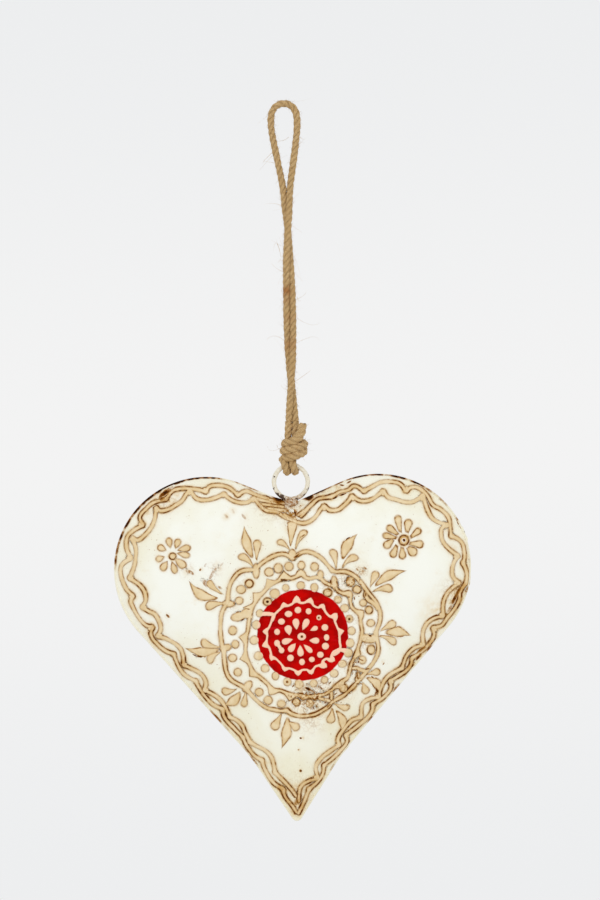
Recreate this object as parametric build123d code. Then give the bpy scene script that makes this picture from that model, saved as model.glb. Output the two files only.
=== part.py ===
from build123d import *
import math
import os

# Hollow tin heart with piped paste ornament, hung by a wire ring on a jute cord. Millimetres.
# The origin is the hook's seat, inside the top of the cord loop. +Z is up and the front faces -Y.

# Jute cord
cord_diameter = 3.3
cord_gap = 0.5               # between neighbouring strands and turns
cord_clearance = 0.3         # between stretches that move against each other
bend_share = 0.45            # of the shorter run beside it that a bend may take
leg_drop = 157.7             # hook's seat to where the legs enter the knot
neck_length = 21.4           # legs' lower end to the axis of the turns on the ring
wrap_turns = 2.5             # wraps of the knot
wrap_gap = 0.6               # between neighbouring wraps
wrap_end_angle = -60.0       # where the last wrap leaves for the tail, degrees from +X
tail_bend = 3.5              # reach of the bend up into the tail
tail_rise = 2.4              # straight end of the cut tail
ring_turn_count = 1.6        # turns of the cord round the ring's wire

# Wire ring
ring_diameter = 19.2         # outside
wire_diameter = 2.3
turn_slack = 0.45            # room between the wire and the cord round it
braze_diameter = 5.6

# Heart outline
lobe_radius = 46.0
lobe_offset = 43.0           # lobe centre from the middle line
notch_slope = 23.0           # rise of the rim from the notch, degrees
side_slope = 49.0            # fall of the straight sides, degrees
tip_turn = 8.0               # how much steeper the drawn-out tip falls, degrees
tip_reach = 8.8              # tip below the point where the straight sides would meet
tip_round = 2.5
hollow_radius = 120.0        # easy bend where side and tip meet

# Pressed halves
half_depth = 12.0
sheet = 0.5
dome_power = 4               # fullness of the dome
dome_centre_drop = 40.0      # middle of the dome below the notch
dome_stations = (1.0, 0.93, 0.84, 0.72, 0.58, 0.42, 0.26)
seam_width = 0.6             # solder proud of the rim
seam_seat = 1.0              # solder's reach onto the sheet
paint_film = 0.08            # between the tin and what sits on it

# Piped paste
paste_height = 0.9
line_width = 1.9
fine_line_width = 1.6        # line of the medallion's star

# Border pair along the rim
side_scallops = 13           # on each side, with one more at the tip
border_inset = 2.2           # crowns of the outer line from the rim
border_wave = 2.0            # depth of a scallop
border_line_gap = 0.5        # between the two lines

# Medallion as drawn, from its eye outward, each gap from the ring inside; it is then fitted to the heart
medallion_x = 4.5
medallion_drop = 65.2        # its centre below the notch
medallion_room = 3.1         # least room between its outline and the border
eye_diameter = 4.2
petal_count = 9
petal_gap = 1.6
petal_length = 5.6
petal_width = 3.3
star_dot_count = 14
star_dot_gap = 2.0
star_dot_diameter = 3.2
star_points = 16
star_gap = 1.9
star_wave = 2.8
inner_dot_count = 24
inner_dot_gap = 1.7
dot_diameter = 3.8
tooth_count = 20
tooth_gap = 0.95
tooth_wave = 2.8
outer_dot_count = 26
outer_dot_gap = 0.75
outline_gap = 0.55
outline_wave = 3.5

# Sprays round the medallion: angle, gap from the outline's crowns, heading, leaf's share of the room beyond
sprays = (
    (97, 3.8, 86, 0.9),
    (122, 4.5, 104, 0.6),
    (154, 4.5, 154, 0.69),
    (188, 1.5, 180, 0.98),
    (221, 0.9, 216, 0.75),
    (258, 0.8, 257, 0.75),
    (293, -0.2, 280, 0.88),
    (325, -0.1, 312, 0.98),
    (2, 0.2, 352, 0.76),
    (35, 3.4, 23, 1.0),
    (62, 2.3, 59, 0.59),
)
leaf_slimness = 0.36         # width of a leaf as a share of its length
drop_share = 0.6             # length of a drop as a share of the leaf's
drop_slimness = 0.45         # width of a drop as a share of its length
drop_angle = 42.0            # drops to either side of the leaf
drop_start = 2.2             # foot of a drop from the foot of the leaf

# Flowers, each set in from the rim of its lobe, at an angle above the level
left_flower_angle = 23.0
left_flower_inset = 28.0
left_petal_count = 9
left_petal_length = 4.6
left_petal_width = 2.7
right_flower_angle = 45.4
right_flower_inset = 27.8
right_petal_count = 10
right_petal_length = 6.2
right_petal_width = 3.2
flower_eye_diameter = 4.0
flower_petal_gap = 2.2

# Places that follow from the sizes above, from the loop down to the notch
strand_offset = (cord_diameter + cord_gap) / 2
neck_top = -leg_drop - cord_clearance
turn_axis = neck_top - neck_length
turn_radius = (wire_diameter + cord_diameter) / 2 + turn_slack
turn_reach = turn_radius + cord_diameter / 2
ring_radius = (ring_diameter - wire_diameter) / 2
ring_height = turn_axis - math.sqrt(ring_radius**2 - strand_offset**2)
notch_rise = math.radians(notch_slope)
notch_height = ring_height - (ring_diameter / 2 + seam_width + paint_film) / math.cos(notch_rise)
lobe_height = notch_height + (lobe_offset * math.sin(notch_rise) - lobe_radius) / math.cos(notch_rise)
dome_height = notch_height - dome_centre_drop
medallion_height = notch_height - medallion_drop

# Border and medallion, from the rim inward and from the eye outward
border_scallops = 2 * side_scallops + 1
cusp_inset = border_inset + border_wave
inner_shift = line_width + border_line_gap
border_depth = cusp_inset + inner_shift + line_width / 2
petal_start = eye_diameter / 2 + petal_gap
star_dot_radius = petal_start + petal_length + star_dot_gap + star_dot_diameter / 2
star_foot_radius = star_dot_radius + star_dot_diameter / 2 + star_gap + fine_line_width / 2
star_tip_radius = star_foot_radius + star_wave
inner_dot_radius = star_tip_radius + fine_line_width / 2 + inner_dot_gap + dot_diameter / 2
tooth_foot_radius = inner_dot_radius + dot_diameter / 2 + tooth_gap + line_width / 2
tooth_tip_radius = tooth_foot_radius + tooth_wave
outer_dot_radius = tooth_tip_radius + line_width / 2 + outer_dot_gap + dot_diameter / 2
outline_cusp_radius = outer_dot_radius + dot_diameter / 2 + outline_gap + line_width / 2
outline_crown_radius = outline_cusp_radius + outline_wave
flower_petal_start = flower_eye_diameter / 2 + flower_petal_gap


# Small helpers

def toward(angle, length=1.0):
    """Vector of a length along an angle in degrees."""
    return Vector(math.cos(math.radians(angle)), math.sin(math.radians(angle))) * length


def medallion_fit():
    """Share of its drawn size at which the medallion leaves its room to the straight sides."""
    outward = toward(side_slope - 90)
    to_lobe = Vector(lobe_offset - abs(medallion_x), lobe_height - medallion_height)
    to_border = to_lobe.dot(outward) + lobe_radius - border_depth
    return (to_border - medallion_room) / (outline_crown_radius + line_width / 2)


fit = medallion_fit()


def on_medallion(angle, radius, gap=0.0):
    """Point of the front at an angle, at a drawn radius and a true gap from the medallion's centre."""
    return Vector(medallion_x, medallion_height) + toward(angle, fit * radius + gap)


def around(count, radius, start=90.0):
    """Evenly spaced points round the medallion."""
    return [on_medallion(start + 360 * k / count, radius) for k in range(count)]


# Jute cord

def cord_tube(points):
    """Tube along straight runs, with every bend as wide as its two runs allow."""
    points = [Vector(*point) for point in points]
    radii = []
    for before, corner, after in zip(points, points[1:], points[2:]):
        run_in = corner - before
        run_out = after - corner
        half_turn = math.radians(run_in.get_angle(run_out) / 2)
        radii.append(bend_share * min(run_in.length, run_out.length) / math.tan(half_turn))
    path = FilletPolyline(*points, radius=radii)
    tube = sweep(Plane(path @ 0, z_dir=path % 0) * Circle(cord_diameter / 2), path=path)
    exact = math.pi * cord_diameter**2 / 4 * path.length
    print("cord bends:", ", ".join(f"{radius:.1f}" for radius in radii))
    print(f"cord length {path.length:.1f}, volume {tube.volume:.1f} of {exact:.1f}")
    return tube


def biarc(start, start_way, end, end_way):
    """Two arcs that leave a point along one direction and reach another along a second."""
    chord = end - start
    along = chord.dot(start_way + end_way)
    spread = 2 * (1 - start_way.dot(end_way))
    reach = (math.sqrt(along**2 + spread * chord.dot(chord)) - along) / spread
    first_corner = start + start_way * reach
    last_corner = end - end_way * reach
    middle = (first_corner + last_corner) * 0.5
    return [
        TangentArc(start, middle, tangent=start_way),
        TangentArc(middle, end, tangent=last_corner - first_corner),
    ]


def coil_arcs(frame, radius, pitch, first_angle, last_angle):
    """Arcs of a coil round a plane's axis, each quarter turn as two arcs, and its end direction."""
    quarters = math.ceil((last_angle - first_angle) / 90)
    angles = [first_angle + (last_angle - first_angle) * k / quarters for k in range(quarters + 1)]
    climb = pitch / (2 * math.pi * radius)
    places = []
    for angle in angles:
        spoke = toward(angle)
        place = frame.from_local_coords(spoke * radius + Vector(0, 0, pitch * angle / 360))
        ahead = Vector(-spoke.Y, spoke.X, climb).normalized()
        way = frame.from_local_coords(ahead) - frame.origin
        places.append((place, way))
    arcs = []
    for (start, start_way), (end, end_way) in zip(places, places[1:]):
        arcs += biarc(start, start_way, end, end_way)
    return arcs, places[-1]


def wound_tube(name, arcs):
    """Unbroken cord tube along arcs; prints the least gap between its turns."""
    path = Wire(arcs)
    tube = sweep(Plane(path @ 0, z_dir=path % 0) * Circle(cord_diameter / 2), path=path)
    steps = 240
    points = [path @ (k / steps) for k in range(steps + 1)]
    apart = math.ceil(1.5 * cord_diameter * steps / path.length)
    least = min(
        (one - other).length
        for k, one in enumerate(points)
        for other in points[k + apart:]
    )
    exact = math.pi * cord_diameter**2 / 4 * path.length
    print(f"{name}: length {path.length:.1f}, least gap {least - cord_diameter:.2f}")
    print(f"{name}: volume {tube.volume:.1f} of {exact:.1f}")
    return tube


def cord_route():
    """Up the left leg, over the hook and down the right leg, which twists once round the left."""
    loop_top = cord_diameter / 2
    # Depth below the hook's seat, turn of the pair in degrees and the pair's place from the middle
    stations = (
        (leg_drop, 360, 0.0),
        (148.5, 318, 0.5),
        (138.0, 270, 0.9),
        (125.0, 225, 1.0),
        (110.0, 187, 1.0),
        (94.0, 160, 0.9),
        (77.0, 132, 0.7),
        (61.5, 92, 0.8),
        (50.0, 42, 0.6),
        (41.0, 8, 0.5),
    )
    left_leg = []
    right_leg = []
    for drop, turn, place in stations:
        across = toward(turn, strand_offset)
        left_leg.append((place - across.X, across.Y, -drop))
        right_leg.append((place + across.X, -across.Y, -drop))
    loop = (
        (-3.6, 0, -27.8),
        (-5.6, 0, -17.5),
        (-6.9, 0, -9.5),
        (-6.5, 0, loop_top - 3.7),
        (-2.8, 0, loop_top),
        (2.4, 0, loop_top),
        (6.1, 0, loop_top - 3.7),
        (6.5, 0, -9.5),
        (5.6, 0, -17.5),
        (4.0, 0, -28.5),
    )
    return left_leg + list(loop) + right_leg[::-1]


def turns_on_ring():
    """Cord round the top of the ring's wire, with both ends upward."""
    pitch = cord_diameter + cord_gap
    half_sweep = 180 * ring_turn_count
    axis = Plane((0, 0, turn_axis), x_dir=(0, 0, -1), z_dir=(1, 0, 0))
    arcs, _ = coil_arcs(axis, turn_radius, pitch, -half_sweep, half_sweep)
    return wound_tube("ring turns", arcs)


def neck_strands():
    """Two strands through the knot, hollowed below to clear the turns."""
    length = neck_top - turn_axis
    strand = Cylinder(cord_diameter / 2, length, align=(Align.CENTER, Align.CENTER, Align.MIN))
    strands = [Pos(side * strand_offset, 0, turn_axis) * strand for side in (-1, 1)]
    width = 4 * strand_offset + 2 * cord_diameter
    swept = Pos(0, 0, turn_axis) * Rot(0, 90, 0) * Cylinder(turn_reach + cord_clearance, width)
    return [strand - swept for strand in strands]


def knot_wraps():
    """Wraps round the two strands; the last one turns up into the cut tail."""
    pitch = cord_diameter + wrap_gap
    wrap_radius = strand_offset + cord_diameter + cord_clearance
    lowest = turn_axis + turn_reach + 2 * cord_clearance
    first_angle = wrap_end_angle - 360 * wrap_turns
    axis = Plane((0, 0, lowest - pitch * first_angle / 360))
    arcs, (end, end_way) = coil_arcs(axis, wrap_radius, pitch, first_angle, wrap_end_angle)
    ahead = Vector(end_way.X, end_way.Y, 0).normalized()
    tail_foot = end + (ahead + Vector(0, 0, 1)) * tail_bend
    arcs += biarc(end, end_way, tail_foot, Vector(0, 0, 1))
    arcs.append(Line(tail_foot, tail_foot + Vector(0, 0, tail_rise)))
    return wound_tube("knot", arcs)


# Tin heart, drawn on the front plane with x to the right and y up

front = Plane.XZ


def heart_outline(outset=0.0):
    """Closed outline from the notch round the right lobe, the tip and the left lobe."""
    tip_slope = side_slope + tip_turn
    side_way = toward(side_slope)
    tip_way = toward(tip_slope)
    lobe = Vector(lobe_offset, lobe_height)
    lobe_start = lobe + toward(90 + notch_slope, lobe_radius + outset)
    lobe_crown = lobe + toward((notch_slope + side_slope) / 2, lobe_radius + outset)
    lobe_end = lobe + toward(side_slope - 90, lobe_radius + outset)
    notch = Vector(0, lobe_start.Y - lobe_start.X * math.tan(notch_rise))
    sides_meet = lobe_end.Y - lobe_end.X * side_way.Y / side_way.X
    tip_drop = tip_reach + outset / tip_way.X - outset / side_way.X
    corner_x = tip_drop / (tip_way.Y / tip_way.X - side_way.Y / side_way.X)
    corner = Vector(corner_x, sides_meet + corner_x * side_way.Y / side_way.X)
    bend = (hollow_radius - outset) * math.tan(math.radians(tip_turn / 2))
    bend_start = corner + side_way * bend
    bend_end = corner - tip_way * bend
    sharp_tip = Vector(0, sides_meet - tip_drop)
    tip_radius = max(tip_round + outset, 0.0)
    tip_start = sharp_tip + tip_way * (tip_radius * tip_way.Y / tip_way.X)
    right = [
        Line(notch, lobe_start),
        TangentArc(lobe_start, lobe_crown, tangent=toward(notch_slope)),
        TangentArc(lobe_crown, lobe_end, tangent=toward((notch_slope + side_slope) / 2 - 90)),
        Line(lobe_end, bend_start),
        TangentArc(bend_start, bend_end, tangent=side_way * -1),
        Line(bend_end, tip_start),
    ]
    left = [mirror(edge, about=Plane.YZ) for edge in right]
    tip = []
    if tip_radius > 0:
        tip_bottom = sharp_tip + Vector(0, tip_radius / tip_way.X - tip_radius)
        tip = [ThreePointArc(tip_start, tip_bottom, Vector(-tip_start.X, tip_start.Y))]
    return Wire([edge.edge() for edge in right + tip + left[::-1]])


def dome():
    """Solid half heart: the height falls with a power of the share of the way to the rim."""
    outline = heart_outline()
    sections = []
    for share in dome_stations:
        height = half_depth * (1 - share**dome_power)
        level = Wire(scale(outline, by=share).edges())
        sections.append(Pos(0, dome_height * (1 - share), height) * level)
    return Solid.make_loft(sections)


def heart_plate(outset, thickness):
    """Flat heart centred on the seam."""
    return extrude(make_face(heart_outline(outset).edges()), amount=thickness / 2, both=True)


half = dome()
raised_half = Pos(0, 0, paint_film) * half
front_half = front * (half - Pos(0, 0, -sheet) * half)
both_outsides = [front * raised_half, mirror(front * raised_half, about=front)]
paste_layer = front * (Pos(0, 0, paint_film + paste_height) * half - raised_half)


def seam():
    """Solder bead that straddles the rim."""
    bead = heart_plate(seam_width, 2 * seam_width) - heart_plate(-seam_seat, 4 * seam_width)
    bead -= heart_plate(paint_film, 2 * paint_film)
    return front * bead - both_outsides[0] - both_outsides[1]


def ring():
    """Wire ring that stands in the notch, facing the front."""
    return Pos(0, 0, ring_height) * Rot(90, 0, 0) * Torus(ring_radius, wire_diameter / 2)


def braze():
    """Solder round the foot of the ring, seated on the rims beside the notch."""
    blob = Pos(0, 0, ring_height - ring_radius) * Sphere(braze_diameter / 2)
    wire_room = Torus(ring_radius, wire_diameter / 2 + paint_film)
    blob -= Pos(0, 0, ring_height) * Rot(90, 0, 0) * wire_room
    blob -= front * heart_plate(seam_width + paint_film, 2 * (seam_width + paint_film))
    return blob - both_outsides[0] - both_outsides[1]


# Piped paste

def relief(sketch):
    """Beads that follow the front from the paint up to the paste's height."""
    beads = []
    for face in sketch.faces():
        blank = extrude(front * face, amount=half_depth + 2 * paste_height)
        beads += (blank & paste_layer).solids()
    return beads


def dots(places, diameter):
    return Sketch() + [Pos(*place) * Circle(diameter / 2) for place in places]


def drop(place, heading, length, width):
    """Pointed foot, swelling to a round end."""
    round_end = length - width / 2
    touch = math.degrees(math.acos(width / 2 / round_end))
    shoulder = Vector(round_end, 0) + toward(180 - touch, width / 2)
    lower = Vector(shoulder.X, -shoulder.Y)
    outline = [
        Line((0, 0), shoulder),
        ThreePointArc(shoulder, (length, 0), lower),
        Line(lower, (0, 0)),
    ]
    return Pos(*place) * Rot(0, 0, heading) * make_face(outline)


def leaf(place, heading, length, width):
    """Lens with both ends pointed."""
    outline = [
        ThreePointArc((0, 0), (length / 2, width / 2), (length, 0)),
        ThreePointArc((length, 0), (length / 2, -width / 2), (0, 0)),
    ]
    return Pos(*place) * Rot(0, 0, heading) * make_face(outline)


def scallops(cusps, crowns):
    """Arcs of a closed line, each from cusp to cusp over its crown."""
    return list(zip(cusps, crowns, cusps[1:] + cusps[:1]))


def scalloped_line(arcs, width):
    """Line along arcs, with its corners rounded."""
    strokes = []
    for start, crown, end in arcs:
        strokes.append(trace(ThreePointArc(start, crown, end), width))
        strokes.append(Pos(*start) * Circle(width / 2))
    return Sketch() + strokes


def border_point(inset, step):
    """Point at an inset from the rim, a number of scallops from the notch."""
    return heart_outline(-inset) @ (step / border_scallops)


def border_arcs(cusp_depth, crown_depth, shift):
    cusps = [border_point(cusp_depth, k + shift) for k in range(border_scallops)]
    crowns = [border_point(crown_depth, k + shift + 0.5) for k in range(border_scallops)]
    return scallops(cusps, crowns)


def outer_border():
    """Outer line, whose scallop at the tip comes to a point between two arcs."""
    arcs = border_arcs(cusp_inset, border_inset, 0.0)
    start, tip, end = arcs[side_scallops]
    first = border_point(border_inset, side_scallops + 0.25)
    second = border_point(border_inset, side_scallops + 0.75)
    arcs[side_scallops:side_scallops + 1] = [(start, first, tip), (tip, second, end)]
    return arcs


def inner_border():
    return border_arcs(border_inset + inner_shift, cusp_inset + inner_shift, 0.5)


def petals(place, count, start, length, width):
    flower = Sketch()
    for k in range(count):
        heading = 90 + 360 * k / count
        outer = Vector(*place) + toward(heading, start + length)
        flower += drop(outer, heading + 180, length, width)
    return flower


border_edge = heart_outline(-border_depth)
left_flower = Vector(-lobe_offset, lobe_height) + toward(180 - left_flower_angle, lobe_radius - left_flower_inset)
right_flower = Vector(lobe_offset, lobe_height) + toward(right_flower_angle, lobe_radius - right_flower_inset)


def room_beyond(foot):
    """Room from a spray's foot to the border or a flower, whichever is nearer."""
    return min(
        border_edge.distance_to(Vertex(*foot)),
        (left_flower - foot).length - flower_petal_start - left_petal_length,
        (right_flower - foot).length - flower_petal_start - right_petal_length,
    )


def spray(foot_angle, foot_gap, heading, share):
    """Leaf between two drops, rooted on the medallion's outline."""
    foot = on_medallion(foot_angle, outline_crown_radius, foot_gap)
    leaf_length = share * room_beyond(foot)
    drop_length = drop_share * leaf_length
    shapes = leaf(foot, heading, leaf_length, leaf_slimness * leaf_length)
    for side in (-1, 1):
        root = foot + toward(heading + side * 90, drop_start)
        shapes += drop(root, heading + side * drop_angle, drop_length, drop_slimness * drop_length)
    return shapes


nodes = {
    "cord_loop": [cord_tube(cord_route())],
    "cord_neck": neck_strands(),
    "cord_knot": [knot_wraps()],
    "ring_turns": [turns_on_ring()],
    "hanging_ring": [ring()],
    "ring_braze": [braze()],
    "front_shell": [front_half],
    "back_shell": [mirror(front_half, about=front)],
    "seam_bead": [seam()],
}

nodes["border_outer_line"] = relief(scalloped_line(outer_border(), line_width))
nodes["border_inner_line"] = relief(scalloped_line(inner_border(), line_width))

spray_angles = [angle for angle, *_ in sprays]
spray_cusps = [on_medallion(angle, outline_cusp_radius) for angle in spray_angles]
spray_crowns = []
for angle, next_angle in zip(spray_angles, spray_angles[1:] + spray_angles[:1]):
    half_step = ((next_angle - angle) % 360) / 2
    spray_crowns.append(on_medallion(angle + half_step, outline_crown_radius))
nodes["medallion_outline"] = relief(scalloped_line(scallops(spray_cusps, spray_crowns), line_width))

tooth_tips = around(tooth_count, tooth_tip_radius)
tooth_feet = around(tooth_count, tooth_foot_radius, 90 + 180 / tooth_count)
nodes["toothed_line"] = relief(scalloped_line(scallops(tooth_tips, tooth_feet), line_width))
star_tips = around(star_points, star_tip_radius)
star_feet = around(star_points, star_foot_radius, 90 + 180 / star_points)
nodes["star_line"] = relief(scalloped_line(scallops(star_tips, star_feet), fine_line_width))

nodes["outer_dots"] = relief(dots(around(outer_dot_count, outer_dot_radius), fit * dot_diameter))
nodes["inner_dots"] = relief(dots(around(inner_dot_count, inner_dot_radius), fit * dot_diameter))
nodes["star_dots"] = relief(dots(around(star_dot_count, star_dot_radius), fit * star_dot_diameter))
medallion = (medallion_x, medallion_height)
nodes["centre_petals"] = relief(
    petals(medallion, petal_count, fit * petal_start, fit * petal_length, fit * petal_width)
)
nodes["centre_eye"] = relief(dots([medallion], fit * eye_diameter))

for number, sizes in enumerate(sprays, 1):
    nodes[f"spray_{number:02d}"] = relief(spray(*sizes))

nodes["left_flower_petals"] = relief(
    petals(left_flower, left_petal_count, flower_petal_start, left_petal_length, left_petal_width)
)
nodes["right_flower_petals"] = relief(
    petals(right_flower, right_petal_count, flower_petal_start, right_petal_length, right_petal_width)
)
nodes["left_flower_eye"] = relief(dots([left_flower], flower_eye_diameter))
nodes["right_flower_eye"] = relief(dots([right_flower], flower_eye_diameter))

os.makedirs("parts", exist_ok=True)
for name, solids in nodes.items():
    export_step(Compound([solid for shape in solids for solid in shape.solids()]), f"parts/{name}.step")
print(f"turn axis {turn_axis:.3f}, ring {ring_height:.3f}, notch {notch_height:.3f}")
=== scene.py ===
import math

import bpy
import numpy as np
from mathutils import Matrix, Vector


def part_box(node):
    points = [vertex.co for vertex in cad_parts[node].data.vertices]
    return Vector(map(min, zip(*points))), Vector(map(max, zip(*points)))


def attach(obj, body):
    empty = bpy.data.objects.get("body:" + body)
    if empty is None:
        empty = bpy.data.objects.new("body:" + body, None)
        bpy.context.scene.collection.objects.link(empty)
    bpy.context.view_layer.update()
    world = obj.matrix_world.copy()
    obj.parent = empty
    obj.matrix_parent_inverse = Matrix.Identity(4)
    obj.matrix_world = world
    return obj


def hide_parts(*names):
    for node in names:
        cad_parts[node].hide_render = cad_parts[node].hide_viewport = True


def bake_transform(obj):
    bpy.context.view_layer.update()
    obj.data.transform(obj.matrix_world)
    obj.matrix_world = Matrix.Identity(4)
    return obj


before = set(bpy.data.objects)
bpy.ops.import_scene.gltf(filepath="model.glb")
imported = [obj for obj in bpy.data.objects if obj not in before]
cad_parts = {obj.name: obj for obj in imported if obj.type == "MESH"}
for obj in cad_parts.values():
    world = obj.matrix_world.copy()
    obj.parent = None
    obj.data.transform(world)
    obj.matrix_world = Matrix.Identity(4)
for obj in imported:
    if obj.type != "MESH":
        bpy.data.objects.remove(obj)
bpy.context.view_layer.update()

mm = 0.001
scene = bpy.context.scene
chance = np.random.default_rng(7)  # seeded, so each run is the same

view = dict(hook=(284.1, 106.9), roll=1.036, metresPerPixel=0.0005, centre=(0.00485, -0.1717),
            distance=3.0, frameHeight=0.45, sensor=36)
pixel = view["metresPerPixel"]
rollCos = math.cos(math.radians(view["roll"]))
rollSin = math.sin(math.radians(view["roll"]))


def onPlane(pixels):
    # picture points to x and z in metres: from the hook, with the camera's roll undone, then to scale
    p = np.asarray(pixels, float) - view["hook"]
    x = p[..., 0] * rollCos - p[..., 1] * rollSin
    z = -(p[..., 1] * rollCos + p[..., 0] * rollSin)
    return pixel * np.stack([x, z], -1)


def readRows(text):
    # words such as 460,585,12,0.9 to rows of numbers
    return np.array([[float(n) for n in word.split(",")] for word in text.split()])


def readLine(text):
    # words such as 254,498 or 254,498* to points on the heart's plane, with the starred ones as corners
    corner = np.array([word.endswith("*") for word in text.split()])
    return onPlane(readRows(text.replace("*", ""))), corner


def softSpotsAt(x, z, listed):
    # the strongest of the listed soft spots at each point: place in the picture, reach, strength
    middle = onPlane(listed[:, :2])
    reach, strength = listed[:, 2:].T
    far2 = (x.ravel()[:, None] - middle[:, 0]) ** 2 + (z.ravel()[:, None] - middle[:, 1]) ** 2
    soft = strength * np.exp(-far2 / (reach * pixel) ** 2)
    return soft.max(1).reshape(x.shape)


def addCamera():
    lens = bpy.data.cameras.new("frontCamera")
    lens.sensor_fit = "VERTICAL"
    lens.sensor_height = view["sensor"]
    lens.lens = view["sensor"] * view["distance"] / view["frameHeight"]
    eye = bpy.data.objects.new("frontCamera", lens)
    scene.collection.objects.link(eye)
    x, z = view["centre"]
    eye.matrix_world = Matrix(((rollCos, rollSin, 0, x), (0, 0, -1, -view["distance"]),
                               (-rollSin, rollCos, 0, z), (0, 0, 0, 1)))
    scene.camera = eye


addCamera()
print("camera set")


def gridFaces(rows, columns, rowsClose=False, columnsClose=False):
    # each cell joins a grid point and the next in its row to the same two of the next row
    r = np.arange(rows if rowsClose else rows - 1)[:, None]
    c = np.arange(columns if columnsClose else columns - 1)[None, :]
    down, right = (r + 1) % rows, (c + 1) % columns
    cells = np.broadcast_arrays(r * columns + c, r * columns + right,
                                down * columns + right, down * columns + c)
    return np.stack(cells, -1).reshape(-1, 4)


def manyGrids(count, points, faces):
    # the same faces for several grids that follow each other in one list of points
    return (faces[None] + points * np.arange(count)[:, None, None]).reshape(-1, faces.shape[1])


def putMesh(name, points, quads, fans=None, marks=None, facing=None):
    # turns the faces over if they look inwards: by the volume they close, or away from the given side
    points = np.asarray(points, float).reshape(-1, 3)
    a, b, c, d = (points[quads[:, k]] for k in range(4))
    across = np.cross(c - a, d - b)
    lean = (across * (a + c)).sum() if facing is None else (across @ np.asarray(facing, float)).sum()
    if lean < 0:
        quads = quads[:, ::-1]
        fans = None if fans is None else fans[:, ::-1]
    faces = quads.tolist() + ([] if fans is None else fans.tolist())
    mesh = bpy.data.meshes.new(name)
    mesh.from_pydata(points.tolist(), [], faces)
    for mark, values in (marks or {}).items():
        values = np.broadcast_to(values, len(points)) if np.ndim(values) == 0 else np.ravel(values)
        mesh.attributes.new(mark, "FLOAT", "POINT").data.foreach_set("value", values.astype(np.float32))
    mesh.shade_smooth()
    piece = bpy.data.objects.new(name, mesh)
    scene.collection.objects.link(piece)
    return piece


def tint(red, green, blue):
    # a paint colour as seen on screen to the shader's linear values
    c = np.array([red, green, blue]) / 255
    c = np.where(c <= 0.04045, c / 12.92, ((c + 0.055) / 1.055) ** 2.4)
    return (*c.tolist(), 1.0)


def addNode(tree, kind, values=None, **settings):
    made = tree.nodes.new(kind)
    for name, value in settings.items():
        setattr(made, name, value)
    for name, value in (values or {}).items():
        if isinstance(value, bpy.types.NodeSocket):
            tree.links.new(value, made.inputs[name])
        else:
            made.inputs[name].default_value = value
    return made


def calc(tree, operation, a, b=0.0, clamp=False):
    return addNode(tree, "ShaderNodeMath", {0: a, 1: b}, operation=operation, use_clamp=clamp).outputs[0]


def times(tree, a, b, clamp=False):
    return calc(tree, "MULTIPLY", a, b, clamp)


def plus(tree, a, b, clamp=False):
    return calc(tree, "ADD", a, b, clamp)


def minus(tree, a, b):
    return calc(tree, "SUBTRACT", a, b)


def onObject(tree):
    return addNode(tree, "ShaderNodeTexCoord").outputs["Object"]


def ramp(tree, value, low, high, start=0.0, end=1.0):
    # smooth step from start to end while value goes from low to high
    values = {"Value": value, "From Min": low, "From Max": high, "To Min": start, "To Max": end}
    return addNode(tree, "ShaderNodeMapRange", values, interpolation_type="SMOOTHSTEP").outputs["Result"]


def mixTint(tree, share, a, b):
    return addNode(tree, "ShaderNodeMix", {0: share, 6: a, 7: b}, data_type="RGBA").outputs[2]


def noise(tree, where, scale, detail=3.0, rough=0.55):
    values = {"Vector": where, "Scale": scale, "Detail": detail, "Roughness": rough}
    return addNode(tree, "ShaderNodeTexNoise", values).outputs["Fac"]


def mark(tree, name):
    return addNode(tree, "ShaderNodeAttribute", attribute_name=name).outputs["Fac"]


def newGroup(name, inputs, outputs):
    tree = bpy.data.node_groups.new(name, "ShaderNodeTree")
    for socket, start in inputs.items():
        made = tree.interface.new_socket(socket, in_out="INPUT", socket_type="NodeSocketFloat")
        made.default_value = start
    for socket, kind in outputs.items():
        tree.interface.new_socket(socket, in_out="OUTPUT", socket_type=kind)
    return tree, tree.nodes.new("NodeGroupInput").outputs, tree.nodes.new("NodeGroupOutput").inputs


def addGroup(tree, group, **values):
    return addNode(tree, "ShaderNodeGroup", values, node_tree=group).outputs


def newMaterial(name):
    material = bpy.data.materials.new(name)
    material.use_nodes = True
    tree = material.node_tree
    return material, tree, tree.nodes["Principled BSDF"]


def bump(tree, surface, height, strength, distance):
    made = addNode(tree, "ShaderNodeBump", {"Height": height, "Strength": strength, "Distance": distance})
    tree.links.new(made.outputs["Normal"], surface.inputs["Normal"])


# fades: from, to, and what the start and the end give, if not 0 and 1
cloudFade = (0.32, 0.68, 0.25, 1.35)
grainMix = dict(finer=3.1, coarse=0.65, fine=0.35, fade=(0.36, 0.64))


def makePatchyGrime():
    # a mask that follows the given amount, broken up by cloudy noise
    tree, given, out = newGroup("patchyGrime", {"Amount": 0.5, "Scale": 300.0}, {"Mask": "NodeSocketFloat"})
    where = onObject(tree)
    cloud = ramp(tree, noise(tree, where, given["Scale"], detail=4.0, rough=0.65), *cloudFade)
    tree.links.new(times(tree, given["Amount"], cloud, clamp=True), out["Mask"])
    return tree


def makeFineGrain():
    # a height and a tone from two sizes of noise, one three times as fine as the other
    tree, given, out = newGroup("fineGrain", {"Scale": 500.0},
                                {"Tone": "NodeSocketFloat", "Height": "NodeSocketFloat"})
    where = onObject(tree)
    coarse = noise(tree, where, given["Scale"], detail=2.0)
    fine = noise(tree, where, times(tree, given["Scale"], grainMix["finer"]))
    both = plus(tree, times(tree, coarse, grainMix["coarse"]), times(tree, fine, grainMix["fine"]))
    tree.links.new(ramp(tree, both, *grainMix["fade"]), out["Tone"])
    tree.links.new(both, out["Height"])
    return tree


patchyGrime = makePatchyGrime()
fineGrain = makeFineGrain()


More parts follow.
